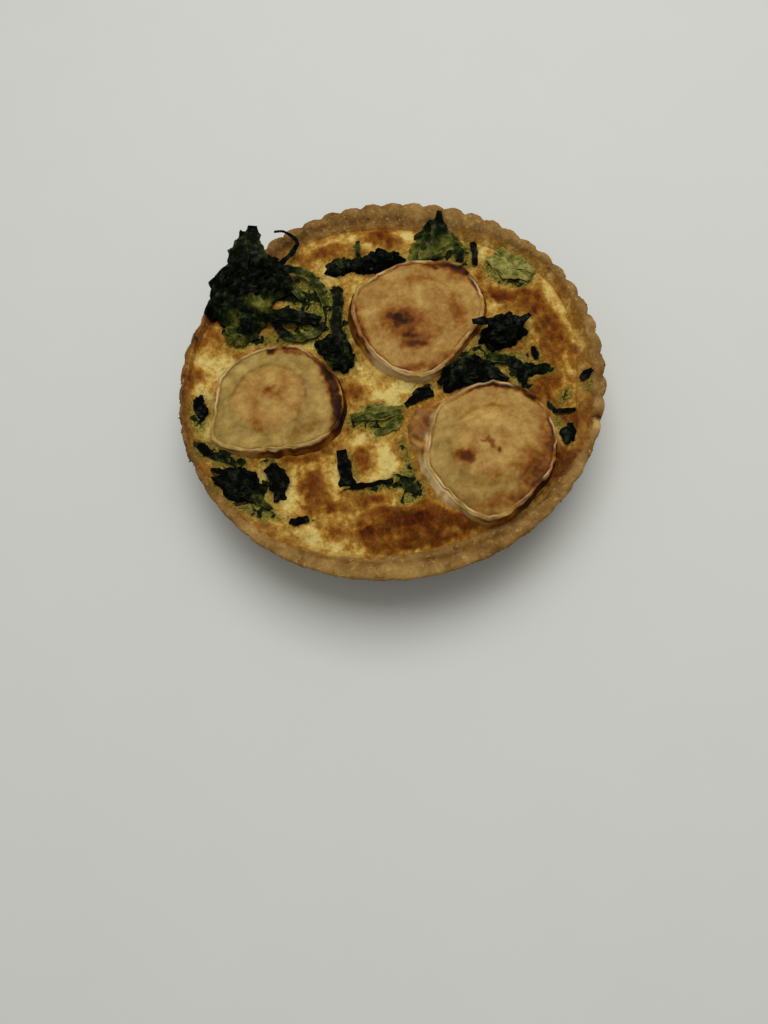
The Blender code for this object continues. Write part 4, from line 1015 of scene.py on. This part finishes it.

# %% [markdown]
# ## Finish: wilted spinach
# Cooked leaves go near black with a wet sheen, and show green only where they are thin: at the
# ruffled edges, along the veins and on stalks. "pale" runs from a black-green fold to a light
# stalk; on the crumpled lumps it also holds painted light on the crests of the folds and painted
# shade in their hollows. "across" is the place over the leaf's width, which lightens the edges.
# Noise at 3 mm mottles the colour, and noise at 1 mm wrinkles the surface.


# %% Spinach leaf
def spinach_leaf():
    material, tree, shader, place = new_finish("wilted_spinach_leaf")
    blotch = add(tree, "ShaderNodeTexNoise", {"Vector": place, "Scale": per_mm(3.0), "Detail": 5.0,
                                              "Roughness": 0.7})
    vein = add(tree, "ShaderNodeTexNoise", {"Vector": place, "Scale": per_mm(1.0), "Detail": 2.0})
    pale, across = (add(tree, "ShaderNodeAttribute", attribute_name=label).outputs["Fac"]
                    for label in ("pale", "across"))
    side = add(tree, "ShaderNodeMath", {0: across}, operation="ABSOLUTE")
    edge = add(tree, "ShaderNodeMapRange", {0: side, 1: 0.72, 2: 1.0, 3: 0.0, 4: 0.2})
    drift = add(tree, "ShaderNodeMath", {0: blotch, 1: 1.1, 2: -0.55}, operation="MULTIPLY_ADD")
    lit = add(tree, "ShaderNodeMath", {0: drift, 1: edge}, operation="ADD")
    level = add(tree, "ShaderNodeMath", {0: lit, 1: pale}, operation="ADD")
    colour = add(tree, "ShaderNodeValToRGB", {0: level},
                 stops=((0.1, "040502"), (1.0, "9A9250"), (0.33, "10150A"), (0.52, "2C3210"),
                        (0.76, "636024")))
    rough = add(tree, "ShaderNodeMapRange", {0: vein, 3: 0.32, 4: 0.6})
    wet = add(tree, "ShaderNodeMapRange", {0: blotch, 1: 0.5, 2: 0.7, 3: 0.01, 4: 0.14})
    relief = add(tree, "ShaderNodeBump", {"Height": vein, "Strength": 0.4, "Distance": 0.5 * MM})
    feed(tree, shader, {"Base Color": colour, "Roughness": rough, "Specular IOR Level": wet,
                        "Normal": relief})
    return material


spinach_stuff = spinach_leaf()

# %% [markdown]
# ## A tree for leaves
# Every leaf, stalk and strand follows a path, so one tree makes them all: it turns the path into
# a smooth curve, spreads a flat strip across it, crumples the strip with noise and ruffles its
# edges. A wall thickness is added afterwards, so each leaf is a closed thin solid.


# %% The leaf tree
def leaf_tree():
    tree, sizes = new_tree("crumpled_leaf", {"Spacing": 0.7 * MM, "Across": 13.0,
                                             "Fold size": 4.6 * MM, "Fold depth": 1.1 * MM,
                                             "Ruffle size": 1.9 * MM, "Ruffle depth": 0.4 * MM})
    half, across = (add(tree, "GeometryNodeInputNamedAttribute", {"Name": label}, data_type="FLOAT")
                    for label in ("half_width", "across"))
    curve = add(tree, "GeometryNodeMeshToCurve", {0: sizes["Geometry"]})
    smooth = add(tree, "GeometryNodeCurveSplineType", {0: curve}, spline_type="CATMULL_ROM")
    even = add(tree, "GeometryNodeResampleCurve", {"Curve": smooth, "Length": sizes["Spacing"]},
               mode="LENGTH")
    level = add(tree, "GeometryNodeSetCurveNormal", {0: even}, mode="Z_UP")
    line = add(tree, "GeometryNodeCurvePrimitiveLine", {"Start": (-1.0, 0.0, 0.0),
                                                        "End": (1.0, 0.0, 0.0)})
    count = add(tree, "FunctionNodeFloatToInt", {0: sizes["Across"]})
    dots = add(tree, "GeometryNodeResampleCurve", {"Curve": line, "Count": count}, mode="COUNT")
    place = add(tree, "GeometryNodeInputPosition")
    part = add(tree, "ShaderNodeSeparateXYZ", {0: place})
    marked = add(tree, "GeometryNodeStoreNamedAttribute",
                 {0: dots, "Name": "across", "Value": part}, data_type="FLOAT", domain="POINT")
    bent = add(tree, "GeometryNodeCurveToMesh", {0: level, 1: marked, "Scale": half})
    away = add(tree, "ShaderNodeMath", {0: across}, operation="ABSOLUTE")
    freedom = add(tree, "ShaderNodeMapRange", {0: half, 1: 0.4 * MM, 2: 3.0 * MM, 3: 0.12, 4: 1.0})
    for size, depth, floor in ((sizes["Fold size"], sizes["Fold depth"], 0.45),
                               (sizes["Ruffle size"], sizes["Ruffle depth"], 0.1)):
        scale = add(tree, "ShaderNodeMath", {0: 1.0, 1: size}, operation="DIVIDE")
        field = add(tree, "ShaderNodeTexNoise", {"Vector": place, "Scale": scale, "Detail": 1.0})
        centred = add(tree, "ShaderNodeVectorMath", {0: field.outputs["Color"], 1: (0.5, 0.5, 0.5)},
                      operation="SUBTRACT")
        push = add(tree, "ShaderNodeMath", {0: away, 1: 1.0 - floor, 2: floor},
                   operation="MULTIPLY_ADD")
        for factor in (depth, freedom, 4.0):
            push = add(tree, "ShaderNodeMath", {0: push, 1: factor}, operation="MULTIPLY")
        offset = add(tree, "ShaderNodeVectorMath", {0: centred, "Scale": push}, operation="SCALE")
        bent = add(tree, "GeometryNodeSetPosition", {0: bent, "Offset": offset})
    end_tree(tree, bent, sizes["Material"])
    return tree


leaf_maker = leaf_tree()

# %% [markdown]
# ## Where the spinach lies
# The clumps of the solids: lumps (x, y, half length, half width, turn, height) and leaves (a path
# of x, y and lift, with three widths). Only the heap at the rear left and the leaf at the rear
# differ by a few millimetres here. "loose" is how many small extra leaves are folded over a
# clump's lumps, and "pale" how light its leaves are.


# %% Clumps
SPINACH = {
    "spinach_heap_rear_left": {
        "lumps": ((-40.2, 50.2, 18.2, 10.8, 30, 8.5), (-45.5, 35.5, 9, 5.5, 38, 4.2)),
        "leaves": (
            (((-41, 51, 6.5), (-38.5, 59.5, 9), (-36.2, 68, 8.6)), (14, 14, 7)),
            (((-52, 46, 4), (-50.5, 51, 5.5), (-46.5, 56, 6.5)), (8, 8, 4.5)),
            (((-39, 38.5, 1.8), (-30, 35.4, 2.6), (-18.6, 30, 1.2)), (5, 6.6, 3.2)),
            (((-28, 55, 4), (-20, 52, 2.8), (-16.2, 44.5, 1.8), (-15, 36, 0.8)), (4, 3.4, 3)),
            (((-27, 53, 3.4), (-25.2, 47, 2.2), (-21.6, 40.5, 1.2)), (3, 2.8, 2.4)),
            (((-35, 35.6, 2), (-30.8, 27, 1.4), (-22.6, 25, 1.2), (-17, 28.8, 0.8)), (3.4, 3, 2.6)),
            (((-29.5, 56, 3.6), (-22.8, 61.2, 3), (-19.6, 65.4, 3.4), (-22.8, 68.4, 3.8),
              (-27, 69.2, 3.8)),
             (2.4, 1.7, 1.1)),
        ),
        "loose": 46, "pale": 0.1,
    },
    "spinach_between_rear": {
        "lumps": ((-15.5, 15.4, 7.4, 6.6, -55, 4),),
        "leaves": (
            (((-14, 20, 2.4), (-12.4, 28, 1.4), (-10.2, 36, 1), (-9.6, 43, 0.6)), (5, 3.6, 4.4)),
        ),
        "loose": 14, "pale": 0.12,
    },
    "spinach_strip_rear": {
        "lumps": ((7.8, 49.2, 8.8, 4.4, -2, 3.4), (-6, 51.8, 5.4, 3.2, 0, 2.6)),
        "leaves": (
            (((-8, 52, 1), (-0.5, 51.2, 1.2), (7, 49.6, 1.2)), (3, 4.4, 3)),
            (((1.6, 52, 1.4), (1.8, 56.4, 1.2), (3, 61.2, 0.8)), (1.8, 1.6, 1.4)),
        ),
        "loose": 14, "pale": 0.05,
    },
    "spinach_leaf_rear": {
        "leaves": (
            (((33, 60.6, 1.2), (30.8, 54, 1), (30.5, 46.6, 0.4)), (4, 16, 23)),
            (((38.2, 49.4, 0.6), (38.4, 45, 0.9), (37.2, 40.8, 0.6)), (2.4, 4.2, 2.4)),
        ),
        "pale": 0.2,
    },
    "spinach_strand_rear": {
        "leaves": ((((44.4, 48.2, 0.6), (43.8, 43.4, 0.8), (42.4, 37.8, 0.5)), (2.2, 2.8, 1.8)),),
        "pale": 0.1,
    },
    "spinach_leaf_pale": {
        "leaves": ((((50.4, 41, 0.2), (54.4, 34.2, 0.4), (60.8, 26.8, 0.2)), (7, 11, 3.4)),),
        "pale": 0.75,
    },
    "spinach_spiky": {
        "lumps": ((43.2, 6.6, 8, 6, 6, 4.6),),
        "leaves": (
            (((43, 8, 3.6), (38.5, 9.4, 5.8), (33.4, 10, 7)), (5, 3.8, 1.6), True),
            (((46, 6.6, 2.8), (50.4, 7.2, 3.4), (54.2, 8.4, 3.2)), (5, 4, 1.4)),
            (((42, 6, 3.4), (45, 8.8, 4.2), (48, 11.2, 4)), (4, 3.6, 1.4)),
        ),
        "loose": 16, "pale": 0.0,
    },
    "spinach_middle": {
        "lumps": ((26.2, -5.2, 9.4, 7.2, -28, 4.6),),
        "leaves": ((((29, -3, 2.4), (34, -7, 1.8), (39.8, -13, 0.6)), (6, 5, 2)),),
        "loose": 18, "pale": 0.05,
    },
    "spinach_bits_right": {
        "lumps": ((50.6, -11.6, 5, 2.4, -8, 1.6),),
        "leaves": (
            (((36, -0.6, 0.4), (41.2, -4.4, 0.8), (47, -9.6, 0.6)), (3, 4.2, 2.6)),
            (((45.8, -7.8, 0.5), (45.4, -12, 0.7), (44.8, -15.6, 0.3)), (3, 3.8, 2.2)),
        ),
        "loose": 6, "pale": 0.15,
    },
    "spinach_fleck_right": {
        "leaves": ((((52.3, -2, 0.2), (51.9, -4.6, 0.3), (51.6, -7.2, 0.2)), (1.2, 2.2, 1.4)),),
        "pale": 0.15,
    },
    "spinach_leaf_centre": {
        "leaves": (
            (((3.4, -11.8, 0.4), (8.6, -10.2, 0.9), (14, -10.2, 0.6)), (1.8, 3.2, 2.6)),
            (((6.8, -9.2, 0.5), (10, -7.9, 0.9), (13.6, -7.4, 0.6)), (2, 3, 2.4)),
        ),
        "pale": 0.05,
    },
    "spinach_stalks": {
        "leaves": (
            (((-16.4, -11.8, 0.6), (-8, -12.4, 1.2), (1.6, -13.4, 0.7)), (3.4, 5.6, 3.4)),
            (((-9.4, -20.4, 0.4), (-4, -18.6, 0.8), (1, -16, 0.8)), (2.6, 4.2, 3)),
        ),
        "pale": 0.6,
    },
    "spinach_leaf_bent": {
        "leaves": (
            (((-22, -22.6, 0.5), (-22.3, -29, 1.2), (-22.4, -36.6, 0.8)), (3.2, 4.6, 4.6)),
            (((-22, -37.2, 0.7), (-15, -37.8, 0.6), (-7.6, -38.4, 0.4)), (3.2, 1.8, 1.6)),
        ),
        "pale": 0.05,
    },
    "spinach_bits_front": {
        "leaves": ((((-4.2, -37.6, 0.3), (-3, -41.4, 0.7), (-0.8, -45.4, 0.3)), (2.6, 4, 2.2)),),
        "pale": 0.2,
    },
    "spinach_clump_front_left": {
        "lumps": ((-58.4, -26, 8.6, 5.2, -38, 2.8),),
        "leaves": (
            (((-60, -22, 1.2), (-64, -20, 1.8), (-67, -18.6, 1.2)), (2.6, 2.4, 1.2)),
            (((-57, -29, 1), (-53, -32.8, 0.8), (-50, -37.6, 0.3)), (3.4, 2.8, 1.2)),
        ),
        "loose": 12, "pale": 0.05,
    },
    "spinach_oval_front": {
        "leaves": ((((-47.8, -21.6, 0.5), (-44.9, -27.4, 1.2), (-46.4, -35, 0.5)),
                    (4.6, 6.6, 4.2)),),
        "pale": 0.05,
    },
    "spinach_oval_left": {
        "leaves": ((((-66.6, 10.6, 0.3), (-67.4, 6.6, 0.6), (-66.2, 2.4, 0.3)), (3, 5.2, 3.4)),),
        "pale": 0.05,
    },
    "spinach_bits_left": {
        "leaves": ((((-69.6, -7.6, 0.2), (-66, -12.4, 0.5), (-60, -16.4, 0.3)), (2.4, 3.2, 2.4)),),
        "pale": 0.12,
    },
    "spinach_fleck_front": {
        "leaves": ((((-44.2, -43.2, 0.2), (-41.2, -44.8, 0.5), (-37.8, -44.2, 0.2)),
                    (1.8, 3.2, 1.8)),),
        "pale": 0.05,
    },
    "spinach_disc_right": {
        "leaves": ((((53.8, -35.2, 0.2), (53.4, -38, 0.4), (53, -40.8, 0.2)), (4.4, 6.6, 4.4)),),
        "pale": 0.02,
    },
    "spinach_strand_right": {
        "leaves": ((((51, -28.2, 0.4), (54.6, -29.6, 0.6), (58.6, -29.8, 0.3)), (2.2, 2, 1.4)),),
        "pale": 0.05,
    },
    "spinach_fleck_rim": {
        "leaves": ((((63.6, -19.8, 0.2), (65.8, -18.8, 0.5), (68, -17.8, 0.3)), (2, 3, 1.6)),),
        "pale": 0.1,
    },
}
PALE_PLACES = ((-38, 41, 6, 3.2, 0.45), (-29.6, 41, 5, 3.2, 0.4), (-38, 33, 3, 2, 0.4),
               (-49, 37, 4, 3, 0.35, 40), (-50, 30, 4, 3, 0.45), (-44, 28.6, 4, 1.6, 0.4),
               (-20, 51, 5, 6, 0.45), (-15, 42, 3, 6, 0.45), (-24, 43, 3, 6, 0.35),
               (-24, 25.6, 9, 3, 0.45), (-15, 35, 5, 3, 0.35), (-10, 42, 3, 4, 0.2),
               (-12, 29, 2, 5, 0.22), (-5.5, 51.6, 4, 3, 0.25), (2, 58, 2, 4, 0.5),
               (33, 49, 6, 7, 0.42, 20), (25, 48, 4, 2, 0.35), (26, -4, 2.6, 2, 0.3),
               (28, 0, 3, 1.4, 0.3), (38, -3, 5, 3, 0.3, -30), (-52, -35, 4, 4, 0.5),
               (-58, -30, 3, 1.4, 0.3, -40), (-37.5, 63, 5, 8, 0.22), (45, 5, 3, 1.4, 0.12),
               (-17, 12, 4, 2, 0.2), (-3, -42, 3, 4, 0.2), (-62, -14, 4, 3, 0.2))
CROWDED_BAND = 2.0
CLEARANCE = 0.5
LIFT_CLEAR = 0.5
LEAF_STEPS = 11


# %% Paths over what carries them
def clear_of_cheese(x, y):
    """Crowd points near a cheese slice into a narrow band just outside its foot."""
    for cheese in CHEESES.values():
        centre_x, centre_y = cheese["centre"]
        apart = np.hypot(x - centre_x, y - centre_y)
        turn = np.arctan2(y - centre_y, x - centre_x)
        limit = foot_radius_at(cheese, np.degrees(turn)) + CLEARANCE
        crowded = limit + CROWDED_BAND * apart / (limit + CROWDED_BAND)
        apart = np.where(apart < limit + CROWDED_BAND, crowded, apart)
        x = centre_x + apart * np.cos(turn)
        y = centre_y + apart * np.sin(turn)
    return x, y


def along_path(path, share):
    """Point on a smooth curve through the path's points, share 0 to 1."""
    place = share * (len(path) - 1)
    index = min(int(place), len(path) - 2)
    t = place - index
    before = Vector(path[max(index - 1, 0)])
    start = Vector(path[index])
    end = Vector(path[index + 1])
    after = Vector(path[min(index + 2, len(path) - 1)])
    leave = 0.5 * (end - before)
    arrive = 0.5 * (after - start)
    return (start * (2 * t ** 3 - 3 * t ** 2 + 1) + leave * (t ** 3 - 2 * t ** 2 + t)
            + end * (3 * t ** 2 - 2 * t ** 3) + arrive * (t ** 3 - t ** 2))


def leaf_path(path, widths, draw, over=False):
    """Points (x, y, z) over the filling and half widths along one leaf, in mm."""
    points = []
    halves = []
    for step in range(LEAF_STEPS):
        share = step / (LEAF_STEPS - 1)
        x, y, lift = along_path(path, share)
        if not over:
            x, y = clear_of_cheese(x, y)
        height = float(resting_height(x, y)) + LIFT_CLEAR + max(lift, 0.0)
        points.append((float(x), float(y), height))
        width = along_path([(value, 0.0, 0.0) for value in widths], share).x
        ragged = draw.uniform(0.78, 1.12) if width < 6.0 else draw.uniform(0.94, 1.04)
        halves.append(0.5 * ragged * width)
    return points, halves


# %% Small leaves folded over a lump
def loose_leaves(lump, count, draw):
    """Paths of short curled leaves that cover a lump, with their half widths."""
    centre_x, centre_y, half_length, half_width, turn, height = lump
    axis = math.radians(turn)
    made = []
    for _ in range(count):
        swing = draw.uniform(0.0, 2.0 * math.pi)
        far = draw.uniform(0.0, 0.82)
        heading = swing + draw.uniform(-1.6, 1.6)
        length = draw.uniform(0.5, 1.1) * min(half_width * 1.5, 9.0)
        curl = draw.uniform(-0.5, 0.5)
        wide = draw.uniform(0.2, 0.44) * min(half_width * 1.2, 6.5)
        high = draw.uniform(0.72, 1.08)
        points = []
        halves = []
        for step in range(5):
            share = step / 4
            along = half_length * far * math.cos(swing)
            over = half_width * far * math.sin(swing)
            aim = heading + curl * share
            along += (share - 0.5) * length * math.cos(aim)
            over += (share - 0.5) * length * math.sin(aim)
            out = min((along / half_length) ** 2 + (over / half_width) ** 2, 1.0)
            x = centre_x + along * math.cos(axis) - over * math.sin(axis)
            y = centre_y + along * math.sin(axis) + over * math.cos(axis)
            x, y = (float(value) for value in clear_of_cheese(x, y))
            rise = height * high * (1.0 - 0.75 * out) + 0.8 * math.sin(math.pi * share)
            points.append((x, y, float(resting_height(x, y)) + 0.3 + max(rise, 0.3)))
            halves.append(wide * (0.35 + 0.65 * math.sin(math.pi * min(share + 0.12, 0.95))))
        made.append((points, halves))
    return made


# %% The crumpled mass of a lump
LUMP_COLUMNS = 220
LUMP_STEPS = 40
LUMP_EDGE = 0.22


def lump_rings(lump, seed):
    """Crumpled leaves with the outline of the solid's lump; also how far each point is a fold."""
    centre_x, centre_y, half_length, half_width, turn, height = lump
    axis = math.radians(turn)
    swing = np.arange(LUMP_COLUMNS) * 2.0 * np.pi / LUMP_COLUMNS
    circle = np.stack([np.cos(swing) / 0.6, np.sin(swing) / 0.6, 0 * swing + 3.7 * seed], 1)
    uneven = 1.0 + 0.35 * np.array([noise.noise(place) for place in circle.tolist()])
    border = np.stack([half_length * np.cos(swing), half_width * np.sin(swing), 0 * swing], 1)
    jagged = 0.7 * ridged(border, 2.6, seed + 3) + 0.5 * grain(border, 1.1, seed + 4)
    uneven += jagged / math.sqrt(half_length * half_width)
    steps = [(0.05, False), (0.6, False), (0.97, False)]
    steps += [(float(share), True) for share in np.linspace(1.0, 0.03, LUMP_STEPS)]
    depth = min(1.5, 0.3 + 0.3 * height)
    rings = []
    folds = []
    for share, on_top in steps:
        along = half_length * share * uneven * np.cos(swing)
        over = half_width * share * uneven * np.sin(swing)
        x = centre_x + along * math.cos(axis) - over * math.sin(axis)
        y = centre_y + along * math.sin(axis) + over * math.cos(axis)
        if on_top:
            lift = LUMP_EDGE + (1.0 - LUMP_EDGE) * (1.0 - share ** 2) ** 0.8
            places = np.stack([x, y, 0 * x + height * lift], 1)
            sway = np.stack([grain(places, 3.4, seed + 5), grain(places, 3.4, seed + 6), 0 * x], 1)
            wide = ridged(places + 1.6 * sway, 4.4, seed + 1)
            slim = ridged(places + 0.8 * sway, 1.9, seed + 2)
            fold = 0.75 * wide + 0.25 * slim
            loose = min(1.0, 5.0 * (1.0 - share))
            x = x + 0.7 * loose * sway[:, 0]
            y = y + 0.7 * loose * sway[:, 1]
            rise = height * lift + depth * fold * min(1.0, 0.3 + 4.0 * (1.0 - share))
        else:
            fold = 0.0 * x
            rise = 0.0 * x - 0.4
        x, y = clear_of_cheese(x, y)
        rise = np.maximum(rise, -0.4 + 0.7 * on_top)
        rings.append(np.stack([x, y, resting_height(x, y) + rise], 1))
        folds.append(fold)
    return np.array(rings), np.array(folds)


# %% One clump as one piece
LEAF_WALL = 0.25
BROAD_LEAF = 5.0
SIDE_LEAVES = (-0.3, 0.32)


def join_meshes(name, meshes):
    """One mesh from several, by joining the objects that carry them."""
    parts = [bpy.data.objects.new(f"{name}_{k}", mesh) for k, mesh in enumerate(meshes)]
    for part in parts:
        scene.collection.objects.link(part)
    with bpy.context.temp_override(active_object=parts[0], selected_editable_objects=parts):
        bpy.ops.object.join()
    mesh = parts[0].data
    bpy.data.objects.remove(parts[0], do_unlink=True)
    return mesh


def spinach_piece(name, clump, place):
    draw = np.random.default_rng(40 + place)
    leaves = []
    for path, widths, *over in clump.get("leaves", ()):
        leaves.append((*leaf_path(path, widths, draw, bool(over)), clump["pale"]))
        if max(widths) > BROAD_LEAF:
            for side in SIDE_LEAVES:
                shifted = [(x + side * widths[1] * 0.5, y + side * widths[1] * 0.4, lift + 0.35)
                           for x, y, lift in path]
                narrow = [0.45 * width for width in widths]
                folded = leaf_path(shifted, narrow, draw, bool(over))
                leaves.append((*folded, clump["pale"] + draw.uniform(-0.1, 0.15)))
    lumps = clump.get("lumps", ())
    for number, lump in enumerate(lumps):
        part = 0.7 if len(lumps) > 1 and number == 0 else 1.0 / len(lumps)
        count = round(clump["loose"] * part)
        for points, halves in loose_leaves(lump, count, draw):
            leaves.append((points, halves, clump["pale"] + draw.uniform(-0.15, 0.2)))
    points = []
    edges = []
    halves = []
    pales = []
    for path, widths, pale in leaves:
        start = len(points)
        points.extend(path)
        halves.extend(widths)
        place_x, place_y = np.array(path)[:, 0], np.array(path)[:, 1]
        pales.extend((pale + ovals(place_x, place_y, PALE_PLACES)).tolist())
        edges.extend((start + k, start + k + 1) for k in range(len(path) - 1))
    lines = bpy.data.meshes.new(name + "_paths")
    lines.from_pydata((np.array(points) * MM).tolist(), edges, [])
    keep(lines, "half_width", np.array(halves) * MM)
    keep(lines, "pale", pales)
    meshes = [grow(name, lines, leaf_maker, spinach_stuff, LEAF_WALL)]
    for number, lump in enumerate(lumps):
        rings, folds = lump_rings(lump, 20 * place + number)
        mass = ring_mesh(f"{name}_mass_{number}", rings)
        lighter = ovals(rings[:, :, 0], rings[:, :, 1], PALE_PLACES)
        # Painted light and shade: the crests of the folds are drawn paler, the hollows darker.
        paint(mass, "pale", clump["pale"] - 0.02 + lighter + 0.26 * np.clip(folds, -1.0, 1.0))
        paint(mass, "across", np.zeros(rings.shape[:2]))
        meshes.append(mass)
    mesh = join_meshes(name, meshes) if len(meshes) > 1 else meshes[0]
    return place_object(name + "_leaves", mesh, spinach_stuff)


spinach = {name: spinach_piece(name, clump, k)
           for k, (name, clump) in enumerate(SPINACH.items())}

# %% [markdown]
# ## Crumbs that cling to the crust
# Flakes of pastry and baked-on egg stick to the wall, most of all on the left where the filling
# ran over and dried into short bristles. They are points on the wall with a size and a turn each,
# and a tree puts a small rough crumb on every point.


# %% The crumb tree
def crumb_tree():
    tree, sizes = new_tree("cling_crumbs", {"Roughness size": 0.9, "Roughness depth": 0.35})
    ball = add(tree, "GeometryNodeMeshIcoSphere", {"Radius": 1.0, "Subdivisions": 1})
    place = add(tree, "GeometryNodeInputPosition")
    field = add(tree, "ShaderNodeTexNoise", {"Vector": place, "Scale": sizes["Roughness size"]})
    centred = add(tree, "ShaderNodeVectorMath", {0: field.outputs["Color"], 1: (0.5, 0.5, 0.5)},
                  operation="SUBTRACT")
    depth = add(tree, "ShaderNodeMath", {0: sizes["Roughness depth"], 1: 4.0}, operation="MULTIPLY")
    push = add(tree, "ShaderNodeVectorMath", {0: centred, "Scale": depth}, operation="SCALE")
    crumb = add(tree, "GeometryNodeSetPosition", {0: ball, "Offset": push})
    dots = add(tree, "GeometryNodeMeshToPoints", {0: sizes["Geometry"]})
    spin, span = (add(tree, "GeometryNodeInputNamedAttribute", {"Name": label},
                      data_type="FLOAT_VECTOR") for label in ("spin", "span"))
    turned = add(tree, "FunctionNodeEulerToRotation", {0: spin})
    set_out = add(tree, "GeometryNodeInstanceOnPoints", {"Points": dots, "Instance": crumb,
                                                         "Rotation": turned, "Scale": span})
    end_tree(tree, set_out, sizes["Material"])
    return tree


# %% Where the crumbs are
CRUMB_BANDS = (  # angle from and to, share of the wall from and to, count, size, how long
    (-180, 180, 0.1, 0.98, 260, 0.32, 1.3), (158, 198, 0.4, 0.98, 260, 0.32, 4.0),
    (134, 141, 0.94, 1.02, 9, 1.1, 1.6), (-75, 10, 0.75, 1.0, 90, 0.45, 1.4),
    (-150, -75, 0.08, 0.5, 60, 0.4, 1.6),
)


def crumb_points():
    draw = np.random.default_rng(12)
    points = []
    spins = []
    spans = []
    tone = []
    for low, high, foot, head, count, size, long in CRUMB_BANDS:
        for _ in range(count):
            angle = draw.uniform(low, high)
            share = draw.uniform(foot, head)
            dip = float(flute_dip(angle) * ease(0.2, 0.95, share))
            over = float(around(angle, OVERFLOW_STOPS) * ease(0.4, 0.9, share))
            radius = float(wall_radius(angle, min(share, 0.9))) - dip + over
            turn = math.radians(angle)
            height = float(crest_height(angle)) * share
            points.append((radius * math.cos(turn), radius * math.sin(turn), height))
            big = size * draw.uniform(0.5, 1.3)
            spans.append((big * draw.uniform(1.0, long), big * 0.8, big * draw.uniform(0.6, 1.0)))
            spins.append((draw.uniform(-0.5, 0.5), draw.uniform(-0.5, 0.5),
                          turn + draw.uniform(-0.4, 0.4)))
            tone.append(float(around(angle, TOAST_STOPS)) + draw.uniform(-0.2, 0.35))
    mesh = bpy.data.meshes.new("crumb_points")
    mesh.from_pydata((np.array(points) * MM).tolist(), [], [])
    keep(mesh, "spin", spins, "FLOAT_VECTOR")
    keep(mesh, "span", np.array(spans) * MM, "FLOAT_VECTOR")
    keep(mesh, "toast_and_shade", tone)
    return mesh


crumb_mesh = grow("crumbs", crumb_points(), crumb_tree(), pastry)
crumbs = place_object("crust_crumbs", crumb_mesh, pastry)

# %% [markdown]
# ## What each piece stands for
# Every finished mesh rides on the one body, and the solid it stands for is hidden. The crumbs
# have no solid, so they hide none.

# %% Body of each piece, and the solid it hides
for piece, slot_name, node_name in (
        (crust, "pastry", "crust"), (custard, "custard", "custard"),
        *((cheeses[name], "cheese", name) for name in CHEESES),
        *((spinach[name], "spinach", name) for name in SPINACH)):
    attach(piece, "root")
    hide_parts(node_name)
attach(crumbs, "root")
print("pieces dressed:", len(SPINACH) + len(CHEESES) + 3)

# %% [markdown]
# ## Table, light and camera
# A plain pale table top, one wide soft light above and behind, and a pale sky that fills the
# shadows. The camera looks down steeply from the front, turned a little, as the picture was taken.


# %% Table top
def matt_table():
    material, tree, shader, place = new_finish("matt_white_table_top")
    fleck = add(tree, "ShaderNodeTexNoise", {"Vector": place, "Scale": per_mm(30.0), "Detail": 3.0})
    tone = add(tree, "ShaderNodeValToRGB", {0: fleck}, stops=((0.3, "CBCCC8"), (0.7, "CCCDC9")))
    feed(tree, shader, {"Base Color": tone, "Roughness": 0.6, "Specular IOR Level": 0.25})
    return material


TABLE_HALF = 1500.0
corners = [(a * TABLE_HALF * MM, b * TABLE_HALF * MM, 0.0)
           for a, b in ((-1, -1), (1, -1), (1, 1), (-1, 1))]
table_mesh = bpy.data.meshes.new("table_top")
table_mesh.from_pydata(corners, [], [(0, 1, 2, 3)])
table = place_object("table_top", table_mesh, matt_table())

# %% Light and sky
LAMP_PLACE = Vector((150.0, 300.0, 950.0)) * MM
LAMP_SIDE = 800.0 * MM
LAMP_WATTS = 7.6
lamp = bpy.data.lights.new("wide_soft_light", "AREA")
lamp.size = LAMP_SIDE
lamp.energy = LAMP_WATTS
lamp.color = linear("FFFEFB")[:3]
lamp_holder = bpy.data.objects.new("wide_soft_light", lamp)
lamp_holder.location = LAMP_PLACE
lamp_holder.rotation_euler = LAMP_PLACE.to_track_quat("Z", "Y").to_euler()
scene.collection.objects.link(lamp_holder)
sky = bpy.data.worlds.new("pale_room")
sky.use_nodes = True
sky.node_tree.nodes["Background"].inputs["Color"].default_value = linear("EFF2EE")
sky.node_tree.nodes["Background"].inputs["Strength"].default_value = 0.44
scene.world = sky
scene.view_settings.view_transform = "Standard"

# %% Camera
CAMERA_PLACE = (-13.1, -140.1, 260.5)
PITCH = math.radians(68.9)
ROLL = math.radians(-14.4)
FOCAL_PIXELS = 769.0
PICTURE_HEIGHT = 1024.0
SENSOR = 36.0
ahead = Vector((0.0, math.cos(PITCH), -math.sin(PITCH)))
right = Vector((1.0, 0.0, 0.0))
upward = Vector((0.0, math.sin(PITCH), math.cos(PITCH)))
side = math.cos(ROLL) * right + math.sin(ROLL) * upward
top_side = -math.sin(ROLL) * right + math.cos(ROLL) * upward
view = bpy.data.cameras.new("view")
view.sensor_width = SENSOR
view.lens = SENSOR * FOCAL_PIXELS / PICTURE_HEIGHT
view.clip_start = 0.01
camera = bpy.data.objects.new("view", view)
turned = Matrix((side, top_side, -ahead)).transposed().to_4x4()
camera.matrix_world = Matrix.Translation(Vector(CAMERA_PLACE) * MM) @ turned
scene.collection.objects.link(camera)
scene.camera = camera
